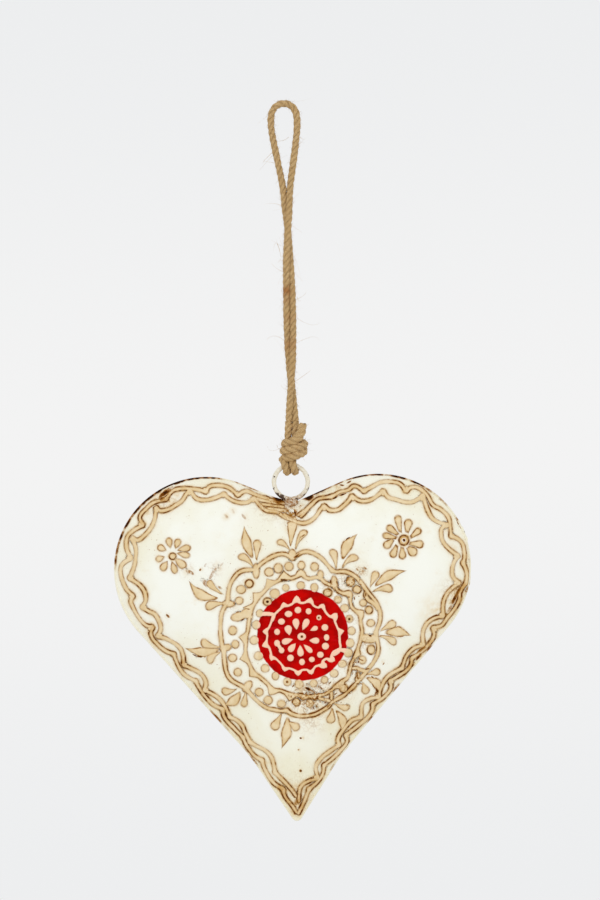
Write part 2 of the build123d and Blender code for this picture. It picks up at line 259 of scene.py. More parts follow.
def patchy(tree, amount, scale):
    return addGroup(tree, patchyGrime, Amount=amount, Scale=scale)["Mask"]


# Jute twine

jute = dict(diameter=3.6 * mm, pitch=10.0 * mm, strandShare=0.30, step=0.5 * mm, sides=10,
            swell=0.10, swellStep=0.004, endTaper=0.5 * mm, strandTones=(0.0, 3.1, 6.4),
            creaseFrom=0.72, creaseMost=1.2, creasePower=1.4,
            fibreLean=0.12, fibresRound=11.0, fibreStretch=0.55, streakScale=1.9, patchScale=140.0)
# the crease tint, and the crease numbers in jute, are for painted shade between the strands
juteTints = dict(pale=tint(230, 205, 156), mid=tint(198, 164, 112), tan=tint(176, 130, 74),
                 crease=tint(84, 52, 22), stain=tint(168, 98, 38))
juteFades = dict(pale=(0.33, 0.68), mid=(0.35, 0.7, 0.0, 0.75), stain=(0.3, 0.7, 0.5, 1.0),
                 crease=(0.3, 0.62, 1.0, 0.55))


def makeJute():
    material, tree, surface = newMaterial("jute")
    where = onObject(tree)
    along, around, tone = mark(tree, "along"), mark(tree, "around"), mark(tree, "tone")
    lean = plus(tree, around, times(tree, along, jute["fibreLean"]))
    fibreWay = addNode(tree, "ShaderNodeCombineXYZ", {0: times(tree, lean, jute["fibresRound"]),
                                                      1: times(tree, along, jute["fibreStretch"]), 2: tone})
    streak = noise(tree, fibreWay.outputs[0], jute["streakScale"], detail=4.0, rough=0.7)
    patch = noise(tree, where, jute["patchScale"])
    fibre = mixTint(tree, ramp(tree, streak, *juteFades["pale"]), juteTints["tan"], juteTints["pale"])
    fibre = mixTint(tree, ramp(tree, patch, *juteFades["mid"]), fibre, juteTints["mid"])
    stained = times(tree, mark(tree, "stain"), ramp(tree, streak, *juteFades["stain"]))
    fibre = mixTint(tree, stained, fibre, juteTints["stain"])
    # painted shade in the creases between strands, broken by the fibre streaks
    creaseShade = times(tree, mark(tree, "crease"), ramp(tree, streak, *juteFades["crease"]), clamp=True)
    fibre = mixTint(tree, creaseShade, fibre, juteTints["crease"])
    tree.links.new(fibre, surface.inputs["Base Color"])
    surface.inputs["Roughness"].default_value = 0.85
    surface.inputs["Specular IOR Level"].default_value = 0.2
    bump(tree, surface, streak, strength=0.9, distance=0.35 * mm)
    return material


juteMaterial = makeJute()


def splinePoints(name, route):
    # the route as control points of a smooth line, and the points along that line
    curve = bpy.data.curves.new(name, "CURVE")
    curve.dimensions = "3D"
    curve.resolution_u = 16
    spline = curve.splines.new("NURBS")
    spline.points.add(len(route) - 1)
    spline.points.foreach_set("co", np.c_[route, np.ones(len(route))].ravel())
    spline.order_u = 3
    spline.use_endpoint_u = True
    holder = bpy.data.objects.new(name, curve)
    scene.collection.objects.link(holder)
    mesh = bpy.data.meshes.new_from_object(holder)
    points = np.empty(3 * len(mesh.vertices))
    mesh.vertices.foreach_get("co", points)
    bpy.data.objects.remove(holder)
    bpy.data.curves.remove(curve)
    bpy.data.meshes.remove(mesh)
    return points.reshape(-1, 3)


def runAlong(path):
    # the length of the line up to each of its points
    return np.concatenate([[0.0], np.cumsum(np.linalg.norm(np.diff(path, axis=0), axis=1))])


def poleFan(pole, ring, flip=False):
    # triangles from one point to each edge of a closed row of points
    after = np.roll(ring, -1)
    return np.stack([np.full(len(ring), pole), after if flip else ring, ring if flip else after], 1)


def unit(vectors):
    return vectors / np.maximum(np.linalg.norm(vectors, axis=-1, keepdims=True), 1e-12)


def evenSteps(path, step):
    # the same line with its points evenly apart
    run = runAlong(path)
    at = np.linspace(0, run[-1], max(int(run[-1] / step), 4) + 1)
    return np.stack([np.interp(at, run, path[:, k]) for k in range(path.shape[1])], 1), at


def wander(run, spacing, past=2):
    # smooth random values between -1 and 1 along a line
    knots = np.arange(0, run[-1] + past * spacing, spacing)
    return np.interp(run, knots, chance.uniform(-1, 1, len(knots)))


def layTwine(name, route, beside, start=0.0, stain=None, thick=1.0):
    # three round strands that turn about the line once in each pitch, each with fibres round its own middle
    line, run = evenSteps(splinePoints(name, route), jute["step"])
    way = unit(np.gradient(line, axis=0))
    front = beside(line)
    front = unit(front - (front * way).sum(1, keepdims=True) * way)
    side = np.cross(way, front)
    strandRadius = thick * jute["diameter"] * jute["strandShare"]
    reach = thick * jute["diameter"] / 2 - strandRadius
    swell = 1 + jute["swell"] * wander(run, jute["swellStep"], 1)
    taper = np.clip(np.minimum(run, run[-1] - run) / jute["endTaper"], 0, 1) ** 0.5
    turn = start + 2 * np.pi * (np.arange(3)[:, None] / 3 - run[None] / jute["pitch"])
    out = np.cos(turn)[..., None] * side + np.sin(turn)[..., None] * front
    middle = line + reach * out
    strandWay = unit(np.gradient(middle, axis=1))
    across = unit(np.cross(strandWay, out))
    angle = np.linspace(0, 2 * np.pi, jute["sides"], endpoint=False)
    size = (strandRadius * swell * taper)[None, :, None, None]
    spoke = np.cos(angle)[:, None] * out[:, :, None] + np.sin(angle)[:, None] * across[:, :, None]
    points = middle[:, :, None] + size * spoke
    shape = points.shape[:3]
    # crease: painted shade on the side of each strand that faces the others
    crease = np.clip(jute["creaseFrom"] - np.cos(angle), 0, jute["creaseMost"]) ** jute["creasePower"]
    marks = dict(along=(run / mm)[:, None], around=np.abs(angle / np.pi - 1), crease=crease,
                 tone=np.array(jute["strandTones"])[:, None, None])
    if stain is not None:
        marks["stain"] = stain(line)[:, None]
    marks = {k: np.broadcast_to(v, shape) for k, v in marks.items()}
    faces = manyGrids(3, shape[1] * shape[2], gridFaces(shape[1], shape[2], columnsClose=True))
    twine = putMesh(name, points, faces, marks=marks)
    twine.data.materials.append(juteMaterial)
    return twine, line


# hairs: lengths and half widths in millimetres, the place of the stray ones in metres, the rest as shares
fuzz = dict(shortest=0.8, halves=(0.03, 0.07), strayHalves=(0.05, 0.10), seat=0.42, stray=0.35, curl=0.8,
            curlBack=0.25, endShare=0.35, corners=(0.5, 2.6, 4.7), strayFront=-0.0012)


def growFuzz(name, line, count, longest, stand=0.7, rare=3.0):
    # hairs along bent lines that leave the twine's side and curl back along it; long ones are rare
    at = chance.integers(2, len(line) - 2, count)
    way = unit(np.gradient(line, axis=0))[at]
    out = unit(np.cross(way, unit(chance.normal(size=(count, 3)))))
    more = longest / mm - fuzz["shortest"]
    length = (fuzz["shortest"] + more * chance.random(count) ** rare)[:, None] * mm
    onward = chance.choice([-1, 1], count)[:, None] * way
    lean = unit(stand * out + onward + fuzz["stray"] * chance.normal(size=(count, 3)))
    curl = fuzz["curl"] * chance.normal(size=(count, 3)) - fuzz["curlBack"] * out
    t = np.linspace(0, 1, 6)[:, None]
    foot = (line[at] + fuzz["seat"] * jute["diameter"] * out)[:, None]
    middle = foot + length[:, None] * (t * lean[:, None] + 0.5 * t**2 * curl[:, None])
    return putHairs(name, middle, chance.uniform(*fuzz["halves"], count) * mm)


def bowedLines(text):
    # bent lines just in front of the cord, each through three read-off places, the second at half way
    first, through, last = np.moveaxis(onPlane(readRows(text)).reshape(-1, 3, 1, 2), 1, 0)
    t = np.linspace(0, 1, 8)[:, None]
    pull = 2 * through - 0.5 * (first + last)
    bow = (1 - t) ** 2 * first + 2 * t * (1 - t) * pull + t**2 * last
    return np.stack([bow[..., 0], fuzz["strayFront"] + 0 * bow[..., 0], bow[..., 1]], -1)


def putHairs(name, middle, thick):
    # a three-sided strip round each line, thinner towards its end
    count, steps = middle.shape[:2]
    way = unit(np.gradient(middle, axis=1))
    one = unit(np.cross(way, np.array([0.31, 0.86, 0.41])))
    two = np.cross(way, one)
    angle = np.array(fuzz["corners"])
    size = thick[:, None] * np.append(np.linspace(1, fuzz["endShare"], steps - 1), 0.0)
    spoke = np.cos(angle)[:, None] * one[:, :, None] + np.sin(angle)[:, None] * two[:, :, None]
    points = middle[:, :, None] + size[:, :, None, None] * spoke
    marks = dict(along=np.linspace(0, 9, steps)[:, None], tone=chance.uniform(0, 9, count)[:, None, None])
    marks = {k: np.broadcast_to(v, points.shape[:3]) for k, v in marks.items()}
    faces = manyGrids(count, steps * 3, gridFaces(steps, 3, columnsClose=True))
    hairs = putMesh(name, points, faces, marks=marks)
    hairs.data.materials.append(juteMaterial)
    return hairs


# the pair's stations: drop below the hook, turn of the pair, place of its middle
legs = dict(spread=1.58, stations=[(157.7, 360, 1.2), (148.5, 318, 1.2), (138.0, 270, 1.1), (125.0, 225, 1.0),
                                  (110.0, 187, 1.0), (94.0, 160, 0.9), (77.0, 132, 0.7), (61.5, 92, 0.8),
                                  (50.0, 42, 0.6), (41.0, 8, 0.5)])
loop = dict(route=[(-3.6, 0, -27.8), (-5.6, 0, -17.5), (-6.9, 0, -9.5), (-6.5, 0, -2.05), (-2.8, 0, 1.65),
                   (2.4, 0, 1.65), (6.1, 0, -2.05), (6.5, 0, -9.5), (5.6, 0, -17.5), (4.0, 0, -28.5)],
            length=0.328, stains=readRows("285.5,291,5,0.95 284.5,300,4,0.5 290,345,6,0.5 289,318,5,0.3"))


def loopRoute():
    # up one leg, over the hook and down the other, with the legs turning about each other
    drop, turned, place = np.array(legs["stations"]).T
    turned = np.radians(turned)
    swing = np.stack([legs["spread"] * np.cos(turned), -legs["spread"] * np.sin(turned), 0 * drop], 1)
    middle = np.stack([place, 0 * drop, -drop], 1)
    return mm * np.vstack([middle - swing, loop["route"], (middle + swing)[::-1]])


def stainedAt(line):
    return softSpotsAt(line[:, 0], line[:, 2], loop["stains"])


def frontSide(line):
    # the way to the front, the same all along
    return np.broadcast_to([0.0, -1.0, 0.0], line.shape)


cordLoop, loopLine = layTwine("cordLoop", loopRoute(), frontSide, start=0.4, stain=stainedAt)
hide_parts("cord_loop")
loopFuzz = growFuzz("loopFuzz", loopLine, count=2600, longest=2.6 * mm, stand=0.9, rare=1.6)
longFuzz = growFuzz("longFuzz", loopLine, count=260, longest=9 * mm, stand=0.8)
# stray hairs read off: three places each
strays = """275,163 268,162 262,161 281,205.5 273,203.5 265,204.5 281,257 279,248 275,238 280,252 276,243
273,252 281,259 278.5,262 278,263 281,246 276,243 270,240 289,137 282,141 277,138 273,152 265,160 263,164
272,156 266,163 258,172 297,297 299,301 301,300 288,390 283,388 281,384 295,344 312,337 319,341 294,316
311,325 321,321 285,341 274,336 266,341 293,383 306,374 311,370 277,445 279,449 283,447 283,446 272,451
267,445 291,302 303,296 306,291 286,273 276,268 271,262"""
strayLines = bowedLines(strays)
strayHairs = putHairs("strayHairs", strayLines, chance.uniform(*fuzz["strayHalves"], len(strayLines)) * mm)
for piece in (cordLoop, loopFuzz, longFuzz, strayHairs):
    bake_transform(piece)

knot = dict(radius=4.9, pitch=4.0, top=-165.3, startTurn=-1000, endTurn=-60, step=22.5, lean=1.0,
            waver=0.35, uneven=0.06, thick=1.28, aside=1.95, tail=[(6.0, -3.4, -163.0), (6.3, -2.8, -158.4)])
ringTurns = dict(axis=-179.4, radius=3.25, pitch=3.9, start=-215, end=420, shift=-1.75, thick=1.12)
# start turn and route of each strand
necks = dict(cordNeckLeft=(0.3, [(-0.5, 0, -157.0), (-0.9, -0.2, -166.0), (-2.1, 0, -175.6)]),
             cordNeckRight=(1.9, [(2.9, 0, -157.0), (2.5, -0.2, -166.0), (1.8, 0, -175.6)]))
neckThick = 1.04


def knotRoute():
    # wraps round the upright neck, each leaning its own way, and the cut end standing up beside them
    a = np.radians(np.arange(knot["startTurn"], knot["endTurn"] + 1, knot["step"]))
    lean = knot["lean"] * np.sin(a + 0.9) + knot["waver"] * np.sin(0.37 * a)
    size = knot["radius"] * (1 + knot["uneven"] * np.sin(0.71 * a + 1.0))
    wraps = np.stack([size * np.cos(a) + knot["aside"], size * np.sin(a),
                      knot["top"] + knot["pitch"] * a / (2 * np.pi) + lean], 1)
    return mm * np.vstack([wraps, knot["tail"]])


def fromUpright(line):
    # the way out from the upright through the hook
    return line * [1.0, 1.0, 0.0]


def fromLevel(line):
    # the way out from the level line that the ring's turns go round
    return (line - [0.0, 0.0, ringTurns["axis"] * mm]) * [0.0, 1.0, 1.0]


def turnsRoute():
    # a spiral about the level line through the ring's wire
    r, a = ringTurns, np.radians(np.linspace(ringTurns["start"], ringTurns["end"], 31))
    return mm * np.stack([r["pitch"] * a / (2 * np.pi) + r["shift"], r["radius"] * np.sin(a),
                          r["axis"] - r["radius"] * np.cos(a)], 1)


cordKnot, knotLine = layTwine("cordKnot", knotRoute(), fromUpright, start=1.0, thick=knot["thick"])
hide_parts("cord_knot")
knotFuzz = growFuzz("knotFuzz", knotLine, count=800, longest=3.6 * mm, stand=0.9, rare=1.8)
leftNeck, rightNeck = (layTwine(name, mm * np.array(route), frontSide, turn, thick=neckThick)[0]
                       for name, (turn, route) in necks.items())
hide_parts("cord_neck")
cordTurns, turnsLine = layTwine("ringTurns", turnsRoute(), fromLevel, start=0.7, thick=ringTurns["thick"])
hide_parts("ring_turns")
turnsFuzz = growFuzz("turnsFuzz", turnsLine, count=60, longest=2.5 * mm)
for piece, body in ((cordKnot, "knot"), (knotFuzz, "knot"), (leftNeck, "knot"), (rightNeck, "knot"),
                    (cordTurns, "turns"), (turnsFuzz, "turns")):
    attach(piece, body)
print("cord laid")

# Heart

heart = dict(lobe=(43.0, -230.52), lobeRadius=46.0, notchSlope=23.0, sideSlope=49.0, tipTurn=8.0,
             tipReach=8.8, tipRound=2.5, hollowRadius=120.0, centre=-238.801, depth=12.0, power=4, sheet=0.5,
             rowPower=0.8, innerRows=(0.992, 0.05, 12), innerBend=0.02)


def heading(degrees):
    return np.array([math.cos(math.radians(degrees)), math.sin(math.radians(degrees))])


def arcPoints(middle, radius, first, last, count):
    a = np.radians(np.linspace(first, last, count))
    return middle + radius * np.stack([np.cos(a), np.sin(a)], 1)


def heartEdge(count):
    # right half: rising line, round lobe, straight side, slight hollow, straight to a small round tip;
    # then mirrored
    h = heart
    lobe, side, tip = np.array(h["lobe"]), heading(h["sideSlope"]), heading(h["sideSlope"] + h["tipTurn"])
    lobeArc = arcPoints(lobe, h["lobeRadius"], 90 + h["notchSlope"], h["sideSlope"] - 90, 400)
    notch = lobeArc[0] - lobeArc[0, 0] * np.array([1, math.tan(math.radians(h["notchSlope"]))])
    meet = lobeArc[-1, 1] - lobeArc[-1, 0] * side[1] / side[0]
    cornerX = h["tipReach"] / (tip[1] / tip[0] - side[1] / side[0])
    corner = np.array([cornerX, meet + cornerX * side[1] / side[0]])
    bendStart = corner + side * h["hollowRadius"] * math.tan(math.radians(h["tipTurn"] / 2))
    hollow = arcPoints(bendStart + h["hollowRadius"] * np.array([side[1], -side[0]]), h["hollowRadius"],
                       90 + h["sideSlope"], 90 + h["sideSlope"] + h["tipTurn"], 40)
    tipMiddle = np.array([0, meet - h["tipReach"] + h["tipRound"] / tip[0]])
    tipArc = arcPoints(tipMiddle, h["tipRound"], h["sideSlope"] + h["tipTurn"] - 90, -90, 40)
    right = np.vstack([notch, lobeArc, hollow, tipArc])
    edge, _ = evenSteps(mm * np.vstack([right, right[-2::-1] * [-1, 1]]), 0.0001)
    edge, _ = evenSteps(edge, runAlong(edge)[-1] / (count + 0.5))
    return edge[:-1]


edge = heartEdge(900)
domeCentre = np.array([0.0, heart["centre"] * mm])
edgeTurn = np.arctan2(edge[:, 1] - domeCentre[1], np.abs(edge[:, 0]))
edgeReach = np.linalg.norm(edge - domeCentre, axis=1)
edgeOrder = np.argsort(edgeTurn)


def shareAt(x, z):
    # share of the way from the dome's middle to the rim
    turned = np.arctan2(z - domeCentre[1], np.abs(x))
    return np.hypot(x, z - domeCentre[1]) / np.interp(turned, edgeTurn[edgeOrder], edgeReach[edgeOrder])


def liftAt(x, z):
    # height of the dome: its depth, less the fourth power of the share of the way to the rim
    return heart["depth"] * mm * (1 - np.clip(shareAt(x, z), 0, 1) ** heart["power"])


# Piped lines, read off

piping = dict(height=0.75 * mm, halfWidth=1.08 * mm, skirt=0.75 * mm, lift=0.03 * mm, step=0.42 * mm,
              between=20, uneven=0.10, unevenStep=0.004, dirtUneven=0.35, dirtStep=0.006,
              dirtRange=(0.1, 1.25), stained=0.6, webReach=1.1 * mm, endRound=0.8 * mm,
              endLeast=0.05, lowest=0.3, power=4, sharpCorner=0.3, cornerSteps=4, cornerClear=2 * mm,
              toothShare=0.5, toothPower=1.5)
noFans = np.empty((0, 3), int)


def smoothLine(points, corner, closed=False):
    # cubic runs between the points: the slope at a point is the mean of both neighbours' ways,
    # or one way at a corner
    if closed:
        points, corner = np.vstack([points, points[:1]]), np.append(corner, corner[:1])
    chord = np.diff(points, axis=0)
    size = np.linalg.norm(chord, axis=1, keepdims=True)
    way = chord / size
    before = np.vstack([way[-1:] if closed else way[:1], way])
    after = np.vstack([way, way[:1] if closed else way[-1:]])
    mean = unit(before + after)
    leave = np.where(corner[:, None], after, mean)[:-1] * size
    reach = np.where(corner[:, None], before, mean)[1:] * size
    t = np.linspace(0, 1, piping["between"], endpoint=False)[None, :, None]
    dense = ((1 + 2 * t) * (1 - t) ** 2 * points[:-1, None] + t * (1 - t) ** 2 * leave[:, None]
             + t**2 * (3 - 2 * t) * points[1:, None] - t**2 * (1 - t) * reach[:, None])
    dense = np.vstack([dense.reshape(-1, 2), points[-1:]])
    cornerRun = runAlong(dense)[::piping["between"]][corner]
    line, run = evenSteps(dense, piping["step"])
    return line, run, cornerRun


# across a bead: share of its half width, then share of the skirt past its foot
acrossShare = np.array([-1, -1, -1, -0.94, -0.8, -0.45, 0, 0.45, 0.8, 0.94, 1, 1, 1])
acrossBeyond = np.array([-1, -0.5, 0, 0, 0, 0, 0, 0, 0, 0, 0, 0.5, 1])


def sideOf(line):
    # square to a flat line, to its left
    way = unit(np.gradient(line, axis=0))
    return np.stack([-way[:, 1], way[:, 0]], 1)


def pipe(line, halfWidth, grime, shift=0.0):
    # bead on the dome: flat top with round shoulders across, and a skirt beside its foot for the wash
    side = sideOf(line)
    offset = np.reshape(shift, (-1, 1)) + halfWidth[:, None] * acrossShare + piping["skirt"] * acrossBeyond
    x = line[:, :1] + side[:, :1] * offset
    z = line[:, 1:] + side[:, 1:] * offset
    rise = piping["height"] * (1 - np.abs(acrossShare) ** piping["power"]) ** 0.5 * np.ones((len(line), 1))
    rise *= np.clip(halfWidth / piping["halfWidth"], piping["lowest"], 1)[:, None]
    y = -(liftAt(x, z) + rise + piping["lift"])
    inside = halfWidth[:, None] * (1 - np.abs(acrossShare)) - piping["skirt"] * np.abs(acrossBeyond)
    marks = dict(inside=inside, grime=np.broadcast_to(grime[:, None], x.shape), dark=np.zeros(x.shape))
    points = np.stack([x, y, z], -1).reshape(-1, 3)
    return points, gridFaces(*x.shape), noFans, {k: v.ravel() for k, v in marks.items()}


def joinParts(parts):
    # several beads or spots in one list of points, with their faces, fans and marks
    start, points, faces, fans, marks = 0, [], [], [], {"inside": [], "grime": [], "dark": []}
    for place, quads, tips, given in parts:
        points.append(place)
        faces.append(quads + start)
        fans.append(tips + start)
        start += len(place)
        for name in marks:
            marks[name].append(given[name])
    marks = {k: np.concatenate(v) for k, v in marks.items()}
    return np.vstack(points), np.vstack(faces), np.vstack(fans), marks


def toothed(line, run, half, tips, spread):
    # each tooth widens the line on one side only: its height falls off as a power of the way from its middle
    far = np.linalg.norm(line[:, None] - tips[None], axis=2)
    at = far.argmin(0)
    tall = np.clip(far.min(0) - half[at], 0, None)
    near = np.clip(1 - np.abs(run[:, None] - run[at]) / spread, 0, 1)
    grow = (piping["toothShare"] * tall * near ** piping["toothPower"]).max(1)
    sign = np.sign(((tips - line[at]) * sideOf(line)[at]).sum(1).sum())
    return half + grow, sign * grow


def pipedLine(text, closed=False, width=1.0, web=0.5, dirt=0.55, tips=None, spread=0.0):
    # the read-off line with an uneven width, wider where it turns a corner
    p = piping
    points, corner = readLine(text)
    line, run, cornerRun = smoothLine(points, corner, closed)
    near = np.abs(run[:, None] - cornerRun[None]).min(1) if len(cornerRun) else np.full(len(run), 1.0)
    half = p["halfWidth"] * width * (1 + p["uneven"] * wander(run, p["unevenStep"]))
    half = half + web * mm * np.exp(-(near / p["webReach"]) ** 2)
    if not closed:
        half = half * np.clip(np.minimum(run, run[-1] - run) / p["endRound"], p["endLeast"], 1) ** 0.5
    clear, steps = p["cornerClear"], p["cornerSteps"]
    turned = np.searchsorted(run, cornerRun[(cornerRun > clear) & (cornerRun < run[-1] - clear)])
    into = (line[turned + steps] - line[turned]) + (line[turned - steps] - line[turned])
    sharp = np.linalg.norm(into, axis=1) / (2 * steps * p["step"])
    cornerWebs.append(np.c_[line[turned], unit(into), sharp][sharp > p["sharpCorner"]])
    stained = p["stained"] * softSpotsAt(line[:, 0], line[:, 1], dirtyRuns)
    grime = np.clip(dirt + p["dirtUneven"] * wander(run, p["dirtStep"]) + stained, *p["dirtRange"])
    shift = 0 * half
    if tips is not None:
        half, shift = toothed(line, run, half, readLine(tips)[0], spread)
    allLines.append(np.c_[line + shift[:, None] * sideOf(line), half, grime])
    return pipe(line, half, grime, shift)


allLines, cornerWebs = [], []

# stretches of line that hold more of the wash: place, reach, strength
dirtyRuns = readRows("""460,585,12,0.9 452,604,14,1 441,622,12,0.9 426,646,12,0.8 408,668,12,1
390,684,10,0.7 374,702,10,0.6 350,732,12,0.6 330,757,12,0.6 312,783,12,0.8 297,806,16,1.3 284,790,12,1
312,788,10,1 262,762,10,0.6 243,737,10,0.7 226,712,10,1 204,690,10,0.7 182,664,10,0.8 155,630,10,0.6
135,595,10,0.6 142,520,12,0.5 165,496,14,1 185,488,12,0.6 225,490,10,0.5 275,506,18,0.6 298,515,14,0.6
322,502,12,0.6 352,490,10,0.5 448,530,8,0.4 285,566,30,0.1 335,583,12,0.6 345,690,14,0.9 310,697,24,0.9
285,700,14,0.6 240,612,10,0.5 365,595,8,0.6 352,668,12,0.6 375,690,10,0.9""")
# lines: places in the picture, with a star at each corner
borderInner = ["""297.5,522.5 292,519.5 285,517 277,512 266,510 260,505 254,498* 248,502 240,502.5 232,500
224,494* 215,498 205,500 197,498.5 190,490* 186,495 182,501 176,505 168,509.5 160,510.5 156,507* 155,519
151,528 145,535 138,540 132,538* 136,548 136,557 134.5,566 130,578* 141,586 145,592 146,600 142.5,607*
149,611 155,614 159,620 161,628 158,636* 166,638.5 173,642 180,647.5 183,654 184,665* 192,668.5 199,672
204,677 206,683 204.5,690* 213,694 220,699 225,706 230,717* 236,719.5 242,725 245,732 250,742* 257,746
265,750 271,756 273.5,763 275,772* 281,778 287,784 293,791 297,797""",
"""296,522 304,523 310,521 316,516 320,510 324,506* 330,510 338,509.5 344,505 349,500 352,496* 358,500
364,501 371,499.5 378,495 383,491* 388,497 396,499.5 404,502 412,502 418,499 423,495* 425,503 428,511
432,518 438,522 448,525* 442,528 441,535 443,542 448,548 458,556* 454,562 452,570 453,577 459,583* 452,588
446,595 443,603 443,616* 434,618 427,623 423,631 423,645* 414,648 407,655 402,668* 394,672 387,677 380,690
379,697* 370,698.5 363,703 361,717* 352,720 346,726 338,739 339,745* 330,751 322,757 316,766 318,778*
308,781 301,786 299,795 299,803"""]
borderOuter = ["""270,499 262,497 254,494 246,491 238,495* 230,488.3 225,486.3 215,485.3 209,487 206,491.5*
200,490 187,488.5 178,489 173,490.7 166,499* 153,503 147,508 140,517 143,525* 133,531 128,536 126.5,541
127,549 131,558* 122,565 120.5,571 121.5,577 126,588 133,596* 131,601 133,607 140,619 146,625 152.5,627*
151,634 160,646.5 166,651 174,654* 176,660 183,673 188,677 196,681* 199,687 208,699.5 214,705 223,709*
224,716 235,729 243,737* 246,744 255,756 262,760* 264,767 273,782 283,789* 285,796 294,808 297.5,814""",
"""303,513 312,504 318,499 326,497.5 332,496.5* 340,492 348,490 354,486 364,491* 374,485.5 380,482.5
394,482 400,484 406,491* 411,487.5 417,487.5 426,494 433,505 440,509 446,514 449,519 450,526 451,536*
457,538.5 462,543 464,550 464.5,557 463,563* 466,570 467,576 466,583* 460,592 459,600 452,612 447,618
442,625 433,628* 434,635 430,643 424,649 418,654 412,658* 411,664 408,669 401,674 390,681* 391,687 386,695
373,704* 372,711 368,717 360,724 346,735* 347,742 341,750 334,757 324,765* 323,773 319,780 309,789* 306,797
303,804 297.5,815"""]
medallionOutline = """292.5,558* 297,555 301,552.5 306,551.3 312,552.5 318,555.5 323,559.5 327,564 332,570*
336,571.3 341,571 346,571.5 351,573.5 356,576.8 360,581 364,586.5 368,592 371,595.5 375,600.5 378,606.5
379.8,612 380,617 379,623 377,628 375.5,632.5* 376.5,638 378,645 378,651 376,657 372.5,663 368,668.5
364,673.5 359,679.5 354,685 349,690 343,695 337,698.5 332,701.5 328,706 322,710 315,713.5 307,715 299,715
292,713 286.5,709.5* 281,710 275,709 268,707.5 262,704 256,699 250.5,693 247,689* 243,686 238,683.3
233,680.5 229,676.5 226.5,671 225.2,664 224.5,657 224,650* 222.5,645 221.3,638 220.7,630 221,621 222,613
225,606 228,602* 228.3,596 229,590 230.5,584 233.5,578.5 237.5,573.5 243,570.3 249,569.5 256,569.5*
259,565.5 263,562 267.5,559 272.5,556.3 278,554.2 284,553.8 289,555.5"""
outlineExtras = ["366.5,590 365.6,595 368,599.3 372,601.8 376,605.5 378.5,610",
                 "351,668 356,667.5 361,669.5 366,671", "357.5,671 358,676 355.5,681"]
bridge = "361,637 366,637.8 371,638.4 377,637"
toothedRun = """310,578.3 315,577 320,577.6 325,582 330,584.3 334.5,586 338,590.5 343,593 348,595 350,600
351.5,606 356,611 359.5,615 360.5,622 361.8,630 361,637 359,644 356.5,651 353.5,658 351,664 349.5,671
347,677.5 341,681.3 336,685.3 330.5,690.3 324,693.5 316,695 308,695.6 301,694.5 294,694 287.5,692.5 281,690
274.5,688.8 270.5,686 266,681.5 260,676.5 254,671.5 250.5,665.5 247.5,658.5 245.8,651 246,643 246.5,637
248,630 249,622 250.5,614 253,606 256.5,600 262,593.5 267.5,587.5 274.5,582.5 281,579 287,578 292,577.6
297,576 301,574.5 306,577.3"""
# tips of the teeth, and of the spikes of the star line below
teeth = """301,568.8 350.8,590.2 363,609.5 360.5,655 345,690 316,700 302,700 289.3,700.3 269.8,694.5
250.2,675.8 240.2,659 239.3,636 243.8,606.6 253.3,592.3 266.8,578 284,570.5"""
toothedExtras = ["331,690 331.5,695 331,700", "317,697 324,698.8 331,700.5"]
starLine = """304,602.2 307.5,601.2 311,602 314,605.3 318,607 321.5,606.5 324,609 326.5,612.8 330,616
333.5,617.5 335,621.5 337,626.5 338.8,631 339.3,636 339.6,641.5 340,647.3 336.5,649.3 333,651.5 331.2,655
330.2,658 326,658.2 322.8,660.3 321.5,663.5 318.5,664.6 315.5,665.8 313,668.5 310.8,670.3 306.5,669
302.5,669.2 298,671 294,669.2 289.5,667.6 284.5,667 281.5,663.5 278,659.8 274.5,656.8 272,655.5 270.8,651.5
269.3,647 267.2,643.5 267,638.5 267.5,634 267.2,630.5 269.5,626 271.5,621 273,615.5 276.5,612 280,608.8
283.8,605.8 287.5,605.3 291.5,603.8 294.5,601.6 297.2,601 300.5,602.3"""
starSpikes = """297.2,594.8 311,596.8 324.4,603.6 337.5,612.7 344.3,630.2 334.6,660.8 327,666.8 311.6,674
297.8,675.2 283.8,670.6 271,660.2 262,645.6 262.6,630.6 283.4,601.4"""

notchStrokes = ["255,498.5 266,501 279,503.5", "261,503.8 273,505.5 285,507", "266,508 277,509.5 288,511",
                "268,499.5 276,501 285,504", "297,516 304,511 312,504", "299.5,517.5 304,513.3 310,507",
                "283,513.5 289,517 296,519"]
webs = {}


def lineWithWebs(name, texts, **how):
    # the lines of one piece, and the places for a small fill in each of their corners
    cornerWebs.clear()
    made = [pipedLine(text, **how) for text in texts]
    webs[name] = np.vstack(cornerWebs)
    return made


grids = {"borderInnerLine": lineWithWebs("borderInnerLine", borderInner, width=0.95, web=0.35, dirt=0.5),
         "borderOuterLine": lineWithWebs("borderOuterLine", borderOuter, width=0.92, web=0.35, dirt=0.55),
         "medallionOutline": lineWithWebs("medallionOutline", [medallionOutline], closed=True, width=0.93,
                                          web=0.35, dirt=0.5),
         "toothedLine": [pipedLine(toothedRun, closed=True, width=0.84, web=0.0, dirt=0.5, tips=teeth,
                                   spread=3.3 * mm)],
         "starLine": [pipedLine(starLine, closed=True, width=0.56, web=0.0, dirt=0.05, tips=starSpikes,
                                spread=2.3 * mm)]}
# single strokes: on which line, places, width, wash
strokesOn = [("medallionOutline", outlineExtras, 0.95, 0.5), ("medallionOutline", [bridge], 1.9, 0.4),
             ("toothedLine", toothedExtras, 0.9, 0.5), ("borderOuterLine", notchStrokes, 0.85, 0.45)]
for name, texts, width, dirt in strokesOn:
    grids[name] += [pipedLine(text, width=width, web=0.0, dirt=dirt) for text in texts]
print("lines piped")

blobRings = np.array([0.12, 0.4, 0.7, 0.9, 1.0])
blobTurns = 32
blobMiddle = dict(drop=0.68, finger=0.6, petal=0.62, leaf=0.5, fan=0.7)
blobLook = dict(waver=0.05, lowest=0.4, power=3.2, prick=0.5 * mm, skirt=(0.5, 1.0))
